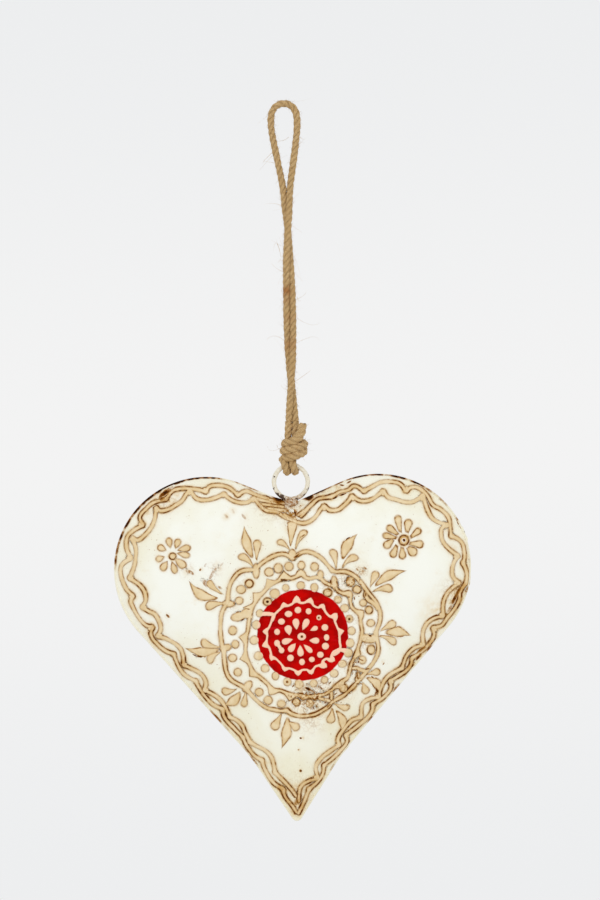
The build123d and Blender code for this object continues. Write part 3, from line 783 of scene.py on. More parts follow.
# how far round the head of a drop goes, in degrees to each side, and how wide its tail starts
dropForm = dict(headTurn=115, tailSteps=7, stub=dict(drop=0.2, finger=0.5), tailPower=1.4)
leafForm = dict(base=0.25, grown=0.75, shoulder=0.55, tip=0.45, tipPower=1.1, start=0.02)
fanForm = dict(base=0.1, grown=0.9, blunt=0.06, start=0.04)
petalFull = 1.3


def blobShape(kind, slim):
    # outline from base to end: how far along, and how far to the side as a share of the half width;
    # slim is the half width over the length
    if kind in ("drop", "finger"):  # round head as wide as the drop, with a drawn-out tail
        steps, turn, stub = dropForm["tailSteps"], math.radians(dropForm["headTurn"]), dropForm["stub"][kind]
        t = np.linspace(0, 1, steps + 1)[:-1]
        head = np.linspace(-turn, turn, blobTurns - 2 * steps + 1)
        neck = 1 - slim + slim * math.cos(turn)
        along = np.concatenate([neck * t, 1 - slim + slim * np.cos(head), (neck * t)[:, :0:-1]], 1)
        tail = math.sin(turn) * (stub + (1 - stub) * t ** dropForm["tailPower"])
        return along, np.concatenate([-tail, np.sin(head), tail[:0:-1]])
    a = np.linspace(0, 2 * np.pi, blobTurns, endpoint=False)
    along = (1 - np.cos(a)) / 2
    if kind == "petal":  # full drop, pointed at the base
        return along, petalFull * np.sin(a) * np.abs(np.sin(a / 2))
    if kind == "leaf":  # grows from a narrow base to its shoulders, then drawn out to a point
        f = leafForm
        low = f["base"] + f["grown"] * np.sin(np.pi / 2 * np.clip(along / f["shoulder"], 0, 1))
        low = low * np.clip(along / f["start"], 0, 1)
        high = ((1 - along) / f["tip"]) ** f["tipPower"]
        return along, np.sign(np.sin(a)) * np.where(along < f["shoulder"], low, high)
    if kind == "fan":  # narrow base, broad blunt end
        f = fanForm
        side = np.sign(np.sin(a)) * (f["base"] + f["grown"] * along)
        side = side * np.clip((1 - along) / f["blunt"], 0, 1) ** 0.5
        return along, side * np.clip(along / f["start"], 0, 1)
    return along, np.sin(a)  # round


def blobs(kind, base, end, half, grime=0.55, height=1.0, pin=0.0, bow=0.0):
    # raised spots: rings shrunk from each outline to its middle, bent sideways by the bow at half length,
    # with a skirt that carries the wash
    base, end = np.atleast_2d(base), np.atleast_2d(end)
    count = len(base)
    half, grime, pin, bow = (np.broadcast_to(value, count)[:, None] for value in (half, grime, pin, bow))
    run = end - base
    along, side = blobShape(kind, np.minimum(half / np.linalg.norm(run, axis=1, keepdims=True), 0.5))
    along = np.broadcast_to(along, (count, blobTurns))
    across = unit(np.stack([-run[:, 1], run[:, 0]], 1))
    waver = 1 + blobLook["waver"] * chance.normal(size=(count, 1))
    aside = side * half * waver + 4 * bow * along * (1 - along)
    outline = base[:, None] + along[..., None] * run[:, None] + aside[..., None] * across[:, None]
    part = blobMiddle.get(kind, 0.5)
    middle = (base + part * run + 4 * bow * part * (1 - part) * across)[:, None]
    out = unit(outline - middle)
    rings = [middle + r * (outline - middle) for r in blobRings]
    rings += [outline + piping["skirt"] * s * out for s in blobLook["skirt"]]
    flat = np.stack(rings, 1)
    share, beyond = np.append(blobRings, [1.0, 1.0]), np.append(0 * blobRings, blobLook["skirt"])
    small = np.clip(half / mm, blobLook["lowest"], 1)
    rise = (height * piping["height"] * (1 - share ** blobLook["power"]) ** 0.5)[None, :, None]
    rise = rise * small[..., None]
    inside = half[:, None] * (1 - share)[None, :, None] - piping["skirt"] * beyond[:, None]
    inside = np.broadcast_to(inside, flat.shape[:3])
    lift = liftAt(flat[..., 0], flat[..., 1]) + rise + piping["lift"]
    points = np.stack([flat[..., 0], -lift, flat[..., 1]], -1).reshape(count, -1, 3)
    topLift = liftAt(middle[..., 0], middle[..., 1]) + piping["lift"] + height * piping["height"] * small
    top = np.stack([middle[..., 0], -topLift, middle[..., 1]], -1)
    each = points.shape[1] + 1
    faces = manyGrids(count, each, gridFaces(len(share), blobTurns, columnsClose=True))
    first = np.arange(blobTurns)
    fans = manyGrids(count, each, poleFan(each - 1, first, True))
    pinned = pin[:, None] * np.exp(-((share[None, :, None] * half[:, None]) / blobLook["prick"]) ** 2)
    marks = dict(inside=np.concatenate([inside.reshape(count, -1), half], 1),
                 grime=np.broadcast_to(grime, (count, each)),
                 dark=np.concatenate([np.broadcast_to(pinned, flat.shape[:3]).reshape(count, -1), pin], 1))
    allBlobs.append(np.c_[middle[:, 0], half, grime])
    marks = {k: v.ravel() for k, v in marks.items()}
    return np.concatenate([points, top], 1).reshape(-1, 3), faces, fans, marks


allBlobs = []
pinHoles = "267.8,601 318.9,617 287,681 301.7,635.9 348.9,619 403.5,540"
spot = dict(uneven=0.07, oval=0.06, prick=1.5, starred=0.9)


def spots(text, radius, grime=0.5):
    # round spots at the read-off places, each a little off in size and roundness, some with a dark prick
    middle, starred = readLine(text)
    size = radius * pixel * (1 + spot["uneven"] * chance.normal(size=len(middle)))
    back = np.stack([size * (1 + spot["oval"] * chance.normal(size=len(middle))), 0 * size], 1)
    pinned = (np.linalg.norm(middle[:, None] - readLine(pinHoles)[0], axis=2).min(1) < mm) * spot["prick"]
    grime = np.where(starred, spot["starred"], grime)
    return blobs("round", middle - back, middle + back, size, grime, pin=pinned)


def bent(kind, text, grime=0.55):
    # each word has base x,y, end x,y, half width and bow in picture points
    read = readRows(text)
    half, bow = read[:, 4:].T * pixel
    return blobs(kind, onPlane(read[:, :2]), onPlane(read[:, 2:4]), half, grime, bow=bow)


fill = dict(back=0.0004, length=0.0036, half=0.0019, grime=0.5, height=0.96)


def cornerFills(w):
    # a small petal in each corner of a line, longer and wider where the corner is sharper
    place, into, sharp = w[:, :2], w[:, 2:4], w[:, 4:]
    base, end = place - fill["back"] * into, place + fill["length"] * sharp * into
    return blobs("petal", base, end, fill["half"] * sharp[:, 0], fill["grime"], fill["height"])


# round spots: middles, with a star where the wash is heavier
starDots = """297.9,609.5 308.5,610.7 318.9,617* 324.8,626.8 326.5,636.8 325.3,645.5 320.3,654 311.8,658.7
302,661.2 290.5,657.2 277.2,642.5 281.6,649.6 277.2,631.2 281.5,620.9 288.6,613.4"""
innerDots = """285.8,587.3 300.8,585 314.3,587.2 327.6,592.3* 337.8,598.9 344.5,607.6 349.2,618.4
351.3,630.3 349.9,642.4 348,652.2 342.2,663.1 333.9,672.7 324.4,679 313.5,682.6 298.9,683.1 287.4,680.9
275.6,675.2 265.3,667.6 258.7,655.2 254.5,639.5 256.5,624.2 259.9,612.7 267.6,601.2* 274.9,593.3"""
outerDots = """269.3,571.7 278.3,567.9 289,566 301.4,564.9 314.5,566.3 350.2,581* 356.7,589* 362.9,602.3
368.7,609.5* 370.5,622.5 371,649.2* 362.3,659.4 343.5,687.8* 309.7,702.6 296.3,701.2* 281.5,703 268.2,699.5
259.3,691.5 238,671.6 232.8,657.3 235.5,643.6 232.9,629.9 239.5,600.3 241.3,589 249.5,583.2*"""
# petals, leaves and drops: base, end, half width and bow of each
centrePetals = """296.7,629.4,295.5,617.8,3.4,0 302.3,629.8,308,618,3.4,0 310,630,317.7,626.3,2.8,0
308.8,639.8,319.4,640,3,0 303.3,643.4,312.2,651.8,2.8,0 300,644,300.8,655.8,3.2,0
295.9,642.3,288.8,650.8,3,0 293.2,638.4,281.8,642,3.3,0 289.6,634.8,287.6,624.6,4,0"""
sprays = ["290.5,545.5,292.6,521,5.2,0 289.8,549.8,277.3,540.8,3.4,-1.5 295.3,549.5,306.2,530.2,3.7,2",
          "252.5,557,244.5,526,4.8,2 256.6,560,257.6,539.7,4,0 254,567.8,239,555,3.7,-2.3",
          "217.5,597.8,189.8,580.8,5,5.6 223.3,594,207.6,580.5,3.8,1 226,603,206,607,4.4,-1.5",
          "219.5,649,185.6,647.8,4.9,3.4 222,646.7,201.4,640.5,3.8,2 221.5,651.3,208.3,662,3.8,-2",
          "240.2,692,223.6,705,4.6,2.8 236.5,688.8,221.9,690.5,3.5,1.3 246.4,690,243.7,706.3,3.3,0",
          "287.6,717,281.8,747.3,4.6,1.8 281.6,713,273.2,728.8,4.2,0 288,720.5,298.8,728.3,3.9,0",
          "336.4,710.2,340.8,733.3,4.3,4.4 332.2,707.6,329.4,722.4,3.8,0.8 333.4,701.8,349.5,707,3.4,-1.9",
          "367,677.3,380.2,694,4.5,4 362.3,681.6,366.7,693.2,3.6,0 366,674,379.9,670.8,3.4,0",
          "385.3,632,410.3,635.2,4.9,2.2 380,630.2,395.3,621.8,4.1,0 378,635.4,395.8,643.3,4.1,1.8",
          "375.3,585.2,405.8,570.6,5,3.5 369.8,586.3,376.6,571.2,3.8,0 372.3,591,392.3,588.2,4,1.5",
          "342.4,558.2,356.8,534.2,4.7,2.8 335.8,569,331.5,549,3.9,-1.4 341.6,567.8,357.6,556.3,3.8,2.5"]
leftFlower = """170.8,547.8,168.6,537.8,3,0 176,548.2,179.2,539,3.2,0 177.9,550,190.8,547,3.4,0
177.5,553,190.2,555.6,3,0 175.2,558,185.9,567.2,3.8,0 172.4,561.4,176,573,3.2,0 167.6,561,162,570,3.3,0
164.6,556.6,156.6,559.8,3,0 166.4,550.2,158.4,546.3,3.2,0"""
rightFlower = """400,532.4,397.2,515.4,3.4,0 406.6,532.4,408.6,519.4,3.7,0 410,537.4,420.2,529,3.1,0
408.8,543.2,423,544.4,3.6,0 407.6,547,415.6,554.4,4.4,0 401.8,547,402.2,558.6,3.5,0
396.6,545,391.6,556.8,3.3,0 393,539,384.2,547.2,3.6,0 396.6,537.8,382.6,534.8,3.3,0
397.8,534.6,387,526,3.4,0"""

spotted = {"outerDots": [spots(outerDots, 4.1, 0.5)], "innerDots": [spots(innerDots, 4.1, 0.35)],
           "starDots": [spots(starDots, 3.2, 0.05), bent("round", "276.5,641.5,282.5,650.5,1.9,0", 0.05)],
           "centrePetals": [bent("petal", centrePetals, 0.05)],
           "centreEye": [spots("301.7,635.9", 4.2, 0.15)],
           "leftFlowerPetals": [bent("petal", leftFlower)], "leftFlowerEye": [spots("173,556*", 3.7)],
           "rightFlowerPetals": [bent("finger", rightFlower, 0.65)],
           "rightFlowerEye": [spots("403.5,540", 4.4, 1.25)]}
for count, text in enumerate(sprays, 1):
    leaf, pair = text.split(" ", 1)
    spotted[f"spray{count:02d}"] = [bent("fan" if count == 1 else "leaf", leaf, 0.6), bent("drop", pair, 0.5)]
added = {name: [cornerFills(w)] for name, w in webs.items()}
added["toothedLine"] = [bent("round", """246,614.5,231.3,617.6,4.6,0 335,590,333.6,575,3.3,0
320,580,320.6,569.8,3,0""", 0.5),
                        bent("fan", "236,616,252,611.5,7,0", 0.5)]
added["starLine"] = [bent("drop", "339,648,349.8,652,2.6,1 274,615,258.5,612.7,2.6,0", 0.05),
                     bent("round", """261,612.4,276.5,614.2,2.1,0 275.3,612,271.5,622,1.8,0
330.2,655.5,342,647.2,2.1,-0.8 337.5,648.6,350.5,652.6,2.3,0.6""", 0.05)]
added["medallionOutline"] += [bent("round", """256,563,256.4,578.4,3.4,0 222,603,235.4,603.6,3.3,0
220,648.8,232,645.5,3.2,0 243.5,691,251.5,680.5,4,0 292,549,292.6,560.4,4,0""", 0.5)]
print("spots piped")

# Brown wash, and painted shadow at the notch: soft stains beside the piping, and marks read off as place,
# reach, strength

smudges = readRows("""166,499,11,0.7 175,492,9,0.5 150,510,9,0.35 292,514,6,1 278,507,10,0.5 266,503,9,0.45
300,516,8,0.5 313,505,8,0.4 292,518,10,0.4 440,612,16,0.45 452,592,10,0.4 432,632,10,0.35 226,516,4,0.35
233,511,4,0.3 244,518,5,0.25 188,570,5,0.35 218,567,6,0.3 361,570,6,0.35 331,588,5,0.7 310,688,6,0.45
308,700,9,0.3 300,512,8,0.35 168,616,2.5,0.6 300.5,770,1.8,0.7 303,737,1.6,0.5 299,749,1.6,0.5
202,569,1.8,0.5 458,590,5,1 452,603,4,1 446,616,4,0.9 436,630,4,0.8 421,651,5,0.9 414,658,4,0.9
404,669,4,0.7 392,682,5,0.7 376,700,5,0.6 362,715,5,0.6 346,733,5,0.5 330,752,5,0.5 165,495,7,1
160,503,5,0.8 147,511,5,0.6 142,522,4,0.6 132,594,4,0.9 150,630,5,0.7 175,655,5,0.6 197,683,5,0.7
224,712,5,0.7 246,742,5,0.6 264,763,5,0.6 285,793,5,0.7 231,489,4,0.8 448,528,5,0.6 452,548,4,0.5
460,566,4,0.5 338,494,6,0.7 352,487,5,0.6 383,661,2,0.5 296,806,9,0.9 288,794,7,0.7 306,794,7,0.6
297,790,12,0.4 312,700,26,0.42 340,690,14,0.42 300,687,9,0.5 322,688,8,0.5 318,497,6,0.55 328,492,5,0.6
338,488,5,0.6 304,509,6,0.6 456,596,4,0.8 419,655,4,0.8 236,604,4,0.6 246,683,4,0.4 227,646,4,0.4""")
# dark spots: place, reach, strength; those at 279,499 283,500 309,496.5 315,493 and 322,490.5 are painted
# shadow of the openings between ring and rim at the notch
darkSpots = readRows("""293,514,3.2,1.7 288,510,2.5,0.7 279,499,4.5,1.6 309,496.5,3.4,1.9 315,493,3,0.6
322,490.5,2.6,0.4 283,500,3,0.7 296,801,2.4,0.7 291,803,1.6,0.5""")
# dark marks along the rim's edge and seam: place, reach, strength; those beside the ring's foot, at 279,499
# 312,494 324,489 and 293,506, are painted shadow of the openings between ring and rim
rimDarkMarks = readRows("""165,490,12,2.2 178,484,10,2.2 194,480,9,1.8 211,477.5,8,1.5 236,480,4,0.6
250,486,7,0.7 358,477,9,1.7 378,474,8,1 400,476,8,1.5 418,482,8,1.1 150,500,10,1.6 138,512,7,1.2
123,536,7,0.9 115.5,560,6,0.7 128,525,7,1.1 119,548,8,0.9 432,489,8,0.5 444,500,7,0.3 279,499,6,1.2
312,494,8,1.8 324,489,6,1.3 340,483,6,0.5 293,506,6,1 457,520,4,0.5 467,590,4,0.6 468,560,3,0.4
207,697,6,0.7 222,713,8,1.2 231,724,5,0.8 250,748,5,0.6 258,758,6,0.8 276,781,5,0.5 331,766,5,0.4
371,718,5,0.5 396,688,5,0.5 429,650,5,0.5""")


# stain beside the piping, dark spots on the paste, and the depth to which the ground shows through
stain = dict(reach=1.5 * mm, halo=0.55, power=1.3, onPaste=0.6, bareTo=0.4 * mm)
rimLook = dict(ivoryFrom=0.75, ivory=0.45, edge=0.986, edgeFade=0.008, washFrom=0.965, wash=0.12)
offPaste = -0.005  # depth inside a bead's edge for ground that has none


def haloAt(x, z):
    # the strongest soft stain of the piping near each point, fading over the reach from the foot of the bead;
    # worked out some points at a time, to keep the lists short
    source = np.vstack([*allLines, *allBlobs])
    x, z, found = x.ravel()[:, None], z.ravel()[:, None], np.zeros(x.size)
    for part in np.array_split(np.arange(x.size), max(x.size // 1500, 1)):
        far = np.hypot(x[part] - source[:, 0], z[part] - source[:, 1]) - source[:, 2]
        found[part] = (source[:, 3] * np.exp(-(np.clip(far, 0, None) / stain["reach"]) ** 2)).max(1)
    return found


# thin strokes of dark wash: from, to, half width, strength
flecks = readRows("""281.5,579.3,287.5,580.2,0.8,1 294.5,557.3,300,553.3,0.7,0.9 330,580,330.8,582,0.9,1
336.6,581,338.5,586,0.6,0.9 346,580.5,348.5,578,0.7,0.6 306,687,311,689.5,1.2,1 309.5,689,312,690,0.9,1
357,672.5,357.8,678,0.7,0.9 376,689,377.5,691.5,1.1,1 377,691,374.5,694.5,0.9,0.9 372,684,375.5,689,0.6,0.8
365.5,592,365.3,595.5,0.6,0.8 369.5,634.8,370.7,635.6,0.7,0.9 235,601,234.5,603,0.7,0.9
241.5,620,244,618.4,0.6,0.8 246,608,249,608.5,0.5,0.8 236,612,239,611,0.5,0.8 324,693,326.5,690.5,0.5,0.6
324,702.3,326,702,0.7,0.8 314.5,699.5,315.5,698.5,0.7,0.7 313,706,314,708,0.6,0.8 301,697,302.5,698,0.8,0.7
300.3,770,300.7,770.2,1.2,1 300.5,737.2,300.9,737.4,0.9,0.9 298.3,749,298.7,749,0.8,0.5
382.5,664.5,384,662.5,0.6,0.5 316.8,546.8,317.2,546.2,0.7,0.35 189.5,571,193,573.5,1.7,0.42
209.5,579,214.5,570.5,1.6,0.3 203.5,580.5,207,586,1.5,0.3 214.5,570,217.5,566,1.1,0.25
203,579.5,209,582.5,1.3,0.25 205,566,206.5,563.5,1.1,0.18 220,566,223.5,562.5,1,0.16
218.5,586,222,588.5,1.2,0.3 160,497,172,487.5,1.9,0.8 161.3,499.2,163.2,497.6,1.2,1.1
361,574,363,570,1.2,0.3 200.3,570,200.8,569,0.9,0.5 167,614.5,169.5,617,1,0.6 346,539,349.5,537,0.6,1
300,537,304.5,534.5,0.5,0.8 286.5,524,289,521.5,0.6,0.7 198,656,202,656.5,0.8,1 193,654,198,656.5,0.5,0.9
398,636,404,636,0.6,0.9 185,569,188,572,1.2,0.2 224.5,514,229,519,1.4,0.2 232.5,509.5,234,512.5,1.2,0.2
242.5,514.5,245.5,518.5,1.4,0.2 356,568,358,570,0.8,0.3 364,567,366,568.5,0.9,0.35
316.5,693.5,320,692,0.5,0.7 327,706.5,330,703.5,0.5,0.6 296,692,299,694,0.5,0.7 304,707,306,709,0.5,0.6
320,686,322.5,688.5,0.5,0.7 288.5,694,291.5,696,0.5,0.6 334,694.5,337,692,0.5,0.6
328.5,683.5,331,681,0.5,0.7 333.5,498.5,338,496,0.9,0.9 338,496.3,346.5,493,0.8,0.8
340,485,344,485.5,0.8,0.5 346.5,483.5,351,481,0.8,0.6 459.5,588.5,456.5,594.5,1.5,0.5
456.5,594,452,604,1.6,0.65 452,604,448,611.5,1.5,0.4 420.5,654.5,416,660,1.3,0.65
425,646.5,417,652.5,1.3,0.6 456.5,519,458.5,525,0.7,0.8 459,526,463.5,531,0.5,0.5 464.5,533,467,545,0.5,0.5
466.5,588.5,465.3,592,0.7,0.9""")
# loose short strokes strewn where the wash is thickest: middle, spread, how many
strewn = [((317, 694), (17, 7.5), 42), ((350, 588), (6, 7), 14),
          ((357, 668), (5, 10), 16), ((289, 508), (7, 4), 12)]
strewnRange = dict(length=(0.8, 3.0), half=(0.4, 0.65), strength=(0.35, 0.75))
loose = np.random.default_rng(41)


def strew(middle, spread, count):
    # strokes that start about the middle, each with a turn, length, half width and strength of its own
    start = loose.normal(middle, spread, (count, 2))
    turn, length = loose.uniform(0, np.pi, count), loose.uniform(*strewnRange["length"], count)
    end = start + length[:, None] * np.stack([np.cos(turn), np.sin(turn)], 1)
    half = loose.uniform(*strewnRange["half"], count)
    return np.c_[start, end, half, loose.uniform(*strewnRange["strength"], count)]


flecks = np.vstack([flecks, *(strew(*patch) for patch in strewn)])
# patches where the wash has run in fine lines: place, reach, strength
scrawls = readRows("""308,699,17,1 331,588,8,0.9 336,602,7,0.5 349,664,9,0.6 345,688,9,0.6 292,511,11,0.9
270,505,12,0.8 240,576,6,0.4 230,606,6,0.4 345,580,8,0.6 350,620,8,0.4 325,683,10,0.8 361,570,6,0.7
214,570,6,0.6 187,570,6,0.6 299,790,14,0.4 165,497,12,0.6 455,592,12,0.6 365,643,8,0.5 312,720,12,0.4""")


def strokeAt(x, z):
    # the strongest of the dark strokes at each point, fading over its half width from its line
    start, run = onPlane(flecks[:, :2]), onPlane(flecks[:, 2:4]) - onPlane(flecks[:, :2])
    half, strength = flecks[:, 4:].T
    place = np.stack([x, z], -1)[:, None]
    part = np.clip(((place - start) * run).sum(-1) / (run**2).sum(-1), 0, 1)
    far = np.linalg.norm(place - start - part[..., None] * run, axis=-1)
    return (strength * np.exp(-(far / (half * pixel)) ** 2)).max(1)


paint = dict(cream=tint(253, 254, 245), ivory=tint(245, 241, 217), washPale=tint(228, 194, 130),
             washWarm=tint(215, 169, 90), wash=tint(163, 107, 27), washDeep=tint(112, 56, 0),
             dark=tint(44, 20, 6), paste=tint(241, 221, 182), pasteDeep=tint(231, 206, 160),
             pasteStained=tint(206, 156, 82), red=tint(206, 3, 0), redDeep=tint(170, 2, 0),
             redPale=tint(206, 14, 26), peach=tint(254, 214, 184))
grainScale = dict(tin=420.0, broad=38.0, clouds=95.0, specks=1150.0, red=150.0, paste=170.0,
                  foot=1300.0, scrawl=330.0)
patchScale = dict(wash=260.0, paste=300.0, foot=420.0, dark=330.0)
discMiddle = onPlane((302.7, 634.2))
disc = dict(radius=0.0228, soft=0.00025, waver=0.0012, waverScale=220.0,
            strokeTurn=0.7, strokeScale=(60, 300, 420))
# where the paste ends and the brown line beside it runs, as depths inside the bead's edge
footLine = dict(waver=0.00030, paste=(-0.00002, 0.00020), band=(0.0002, 0.0011, 0.6, 0.0),
                start=0.00008, end=0.00040, widened=0.00022)
paintFades = dict(ivory=(0.36, 0.7, 0.0, 0.6), ivoryLow=(-0.27, -0.335, 0.0, 0.55),
                  wash=(0.45, 1.0, 0.0, 0.85), clouds=(0.56, 0.8, 0.0, 0.26),
                  specks=(0.70, 0.77, 0.0, 0.6), speckled=(0.4, 0.6), strokes=(0.56, 0.76),
                  red=(0.36, 0.64), paste=(0.35, 0.65), pasteStain=(0.85, 1.3, 0.0, 0.6), band=(0.1, 1.0),
                  foot=(0.0, 1.2, 0.4, 1.2), footTint=(0.35, 1.05), scrawl=(0.0, 0.06, 0.8, 0.0),
                  dull=(0.0, 1.0, 0.45, 0.62))
# the darker the mark, the deeper its paint: dark wash, pricks, rim marks, and painted shadow at the notch
# openings
soilAndShadeFades = dict(wash=(0.0, 0.4, 0.0, 0.9), washDeep=(0.3, 0.7, 0.0, 1.0), dark=(0.6, 1.0, 0.0, 0.92))


def coats(tree, colour, *layers):
    # each layer's paint laid over the colour so far, by its share
    for share, name in layers:
        colour = mixTint(tree, share, colour, paint[name])
    return colour


def groundCoat(tree, where):
    # cream, ivory in clouds, towards the rim and low down, under the wash, pale clouds and fine specks
    broad = noise(tree, where, grainScale["broad"])
    height = addNode(tree, "ShaderNodeSeparateXYZ", {0: where}).outputs[2]
    ivory = ramp(tree, broad, *paintFades["ivory"])
    ivory = plus(tree, ivory, times(tree, mark(tree, "rim"), rimLook["ivory"]))
    ivory = plus(tree, ivory, ramp(tree, height, *paintFades["ivoryLow"]), clamp=True)
    washed = patchy(tree, mark(tree, "wash"), patchScale["wash"])
    clouded = noise(tree, where, grainScale["clouds"], detail=6.0, rough=0.75)
    clouded = ramp(tree, clouded, *paintFades["clouds"])
    speckled = ramp(tree, noise(tree, where, grainScale["specks"], detail=1.0), *paintFades["specks"])
    speckled = times(tree, speckled, ramp(tree, broad, *paintFades["speckled"]))
    return coats(tree, paint["cream"], (ivory, "ivory"), (washed, "washPale"),
                 (ramp(tree, washed, *paintFades["wash"]), "wash"),
                 (clouded, "washPale"), (speckled, "wash"))


def discShare(tree, where):
    # full inside the red disc's brushed edge, on the front only
    place = addNode(tree, "ShaderNodeSeparateXYZ", {0: where}).outputs
    dx, dz = minus(tree, place[0], float(discMiddle[0])), minus(tree, place[2], float(discMiddle[1]))
    far = calc(tree, "SQRT", plus(tree, times(tree, dx, dx), times(tree, dz, dz)))
    waver = minus(tree, noise(tree, where, disc["waverScale"], detail=2.0), 0.5)
    far = plus(tree, far, times(tree, waver, disc["waver"]))
    share = ramp(tree, far, disc["radius"] - disc["soft"], disc["radius"] + disc["soft"], 1.0, 0.0)
    return times(tree, share, calc(tree, "LESS_THAN", place[1], 0.0))


def redCoat(tree, where):
    # uneven red with paler brush strokes
    brushed = addNode(tree, "ShaderNodeMapping", {"Vector": where, "Rotation": (0, disc["strokeTurn"], 0),
                                                  "Scale": disc["strokeScale"]})
    strokes = ramp(tree, noise(tree, brushed.outputs[0], scale=1.0, detail=4.0), *paintFades["strokes"])
    uneven = ramp(tree, noise(tree, where, grainScale["red"]), *paintFades["red"])
    return coats(tree, paint["redDeep"], (uneven, "red"), (strokes, "redPale"))


def makePaintedTin():
    material, tree, surface = newMaterial("paintedTin")
    where = onObject(tree)
    inside, grime, scrawl = (mark(tree, name) for name in ("inside", "grime", "scrawl"))
    grain = addGroup(tree, fineGrain, Scale=grainScale["tin"])
    onRed = discShare(tree, where)
    offRed = minus(tree, 1.0, onRed)
    ground = mixTint(tree, onRed, groundCoat(tree, where), redCoat(tree, where))
    # paste: tan, or peach over the red
    waver = minus(tree, noise(tree, where, grainScale["foot"], detail=2.0), 0.5)
    depth = plus(tree, inside, times(tree, waver, footLine["waver"]))
    uneven = ramp(tree, noise(tree, where, grainScale["paste"]), *paintFades["paste"])
    stained = patchy(tree, ramp(tree, grime, *paintFades["pasteStain"]), patchScale["paste"])
    tan = coats(tree, paint["paste"], (uneven, "pasteDeep"), (onRed, "peach"), (stained, "pasteStained"))
    colour = mixTint(tree, ramp(tree, depth, *footLine["paste"]), ground, tan)
    # a warm band and a brown line along its foot, both off the red
    beside = calc(tree, "ABSOLUTE", depth)
    band = times(tree, ramp(tree, beside, *footLine["band"]), offRed)
    colour = coats(tree, colour, (times(tree, band, ramp(tree, grime, *paintFades["band"])), "washWarm"))
    lineEnd = plus(tree, footLine["end"], times(tree, grime, footLine["widened"]))
    foot = times(tree, ramp(tree, beside, footLine["start"], lineEnd, 1.0, 0.0), offRed)
    foot = patchy(tree, times(tree, foot, ramp(tree, grime, *paintFades["foot"])), patchScale["foot"])
    footTint = mixTint(tree, ramp(tree, grime, *paintFades["footTint"]), paint["wash"], paint["washDeep"])
    colour = mixTint(tree, foot, colour, footTint)
    # fine run lines, and dark spots and marks; at the notch these are painted shadow of the openings between
    # ring and rim
    wandering = noise(tree, where, grainScale["scrawl"], detail=2.5, rough=0.6)
    wandering = ramp(tree, calc(tree, "ABSOLUTE", minus(tree, wandering, 0.5)), *paintFades["scrawl"])
    drawn = times(tree, wandering, times(tree, scrawl, offRed), clamp=True)
    soilAndShade = patchy(tree, mark(tree, "dark"), patchScale["dark"])
    deeper = [(ramp(tree, soilAndShade, *fade), name) for name, fade in soilAndShadeFades.items()]
    colour = coats(tree, colour, (drawn, "wash"), *deeper)
    tree.links.new(colour, surface.inputs["Base Color"])
    tree.links.new(ramp(tree, grain["Tone"], *paintFades["dull"]), surface.inputs["Roughness"])
    surface.inputs["Specular IOR Level"].default_value = 0.03
    bump(tree, surface, grain["Height"], strength=0.25, distance=0.12 * mm)
    return material


paintedTin = makePaintedTin()


def nodeName(piece):
    # borderInnerLine to border_inner_line
    return "".join("_" + c.lower() if c.isupper() else c for c in piece)


def finishPiece(piece, body, slot, material, *nodes):
    piece.data.materials.append(material)
    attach(piece, body)
    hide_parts(*nodes)


def pasteSlot(name):
    return "paste_on_red" if name in ("starLine", "starDots", "centrePetals", "centreEye") else "paste"


def washAt(x, z):
    # soft stain beside the piping, or the smudges where they are stronger
    return np.maximum(stain["halo"] * haloAt(x, z) ** stain["power"], softSpotsAt(x, z, smudges))


def groundMarks(x, z, bare):
    # what the ground coat shows; the wash is worked out only where the ground is bare
    wash = np.zeros(len(x))
    wash[bare] = washAt(x[bare], z[bare])
    rim = np.clip((shareAt(x, z) - rimLook["ivoryFrom"]) / (1 - rimLook["ivoryFrom"]), 0, 1)
    return dict(wash=wash, scrawl=softSpotsAt(x, z, scrawls), rim=rim)


def withStainsAndShade(points, marks):
    # the bead's own marks, with the dark spots and strokes that cross it; the dark spots at the notch are
    # painted shadow
    x, z = points[:, 0], points[:, 2]
    spotty = stain["onPaste"] * softSpotsAt(x, z, darkSpots)
    marks["dark"] = np.maximum.reduce([marks["dark"], spotty, strokeAt(x, z)])
    return marks | groundMarks(x, z, marks["inside"] < stain["bareTo"])


for name, parts in ({name: lines + added[name] for name, lines in grids.items()} | spotted).items():
    points, faces, fans, marks = joinParts(parts)
    piece = putMesh(name, points, faces, fans, withStainsAndShade(points, marks), facing=(0, -1, 0))
    node = f"spray_{name[-2:]}" if name.startswith("spray") else nodeName(name)
    finishPiece(piece, "heart", pasteSlot(name), paintedTin, node)

fleck = dict(wider=1.3, height=0.05, edge=2.2)
# the first spot is a painted highlight at the notch, the second the pale middle of the right flower's eye
highlightAndEye = dict(places=[(291.6, 511), (403.5, 540)], halves=[0.9, 2.6], height=1.6, pricks=[0.0, 3.0])


def layFlecks():
    # low oval spots of dark wash, as long as each stroke and its half widths, darkest in the middle
    start, end = onPlane(flecks[:, :2]), onPlane(flecks[:, 2:4])
    half, strength = fleck["wider"] * flecks[:, 4] * pixel, flecks[:, 5]
    past = unit(end - start) * half[:, None]
    points, faces, fans, marks = blobs("round", start - past, end + past, half, 0.0, fleck["height"])
    depth = np.clip(marks["inside"].reshape(len(flecks), -1) / half[:, None], 0, 1)
    marks["dark"] = (strength[:, None] * np.clip(fleck["edge"] * depth, 0, 1)).ravel()
    marks["inside"] = np.full(len(points), offPaste)
    marks |= groundMarks(points[:, 0], points[:, 2], marks["inside"] < 0)
    return putMesh("washFlecks", points, faces, fans, marks, facing=(0, -1, 0))


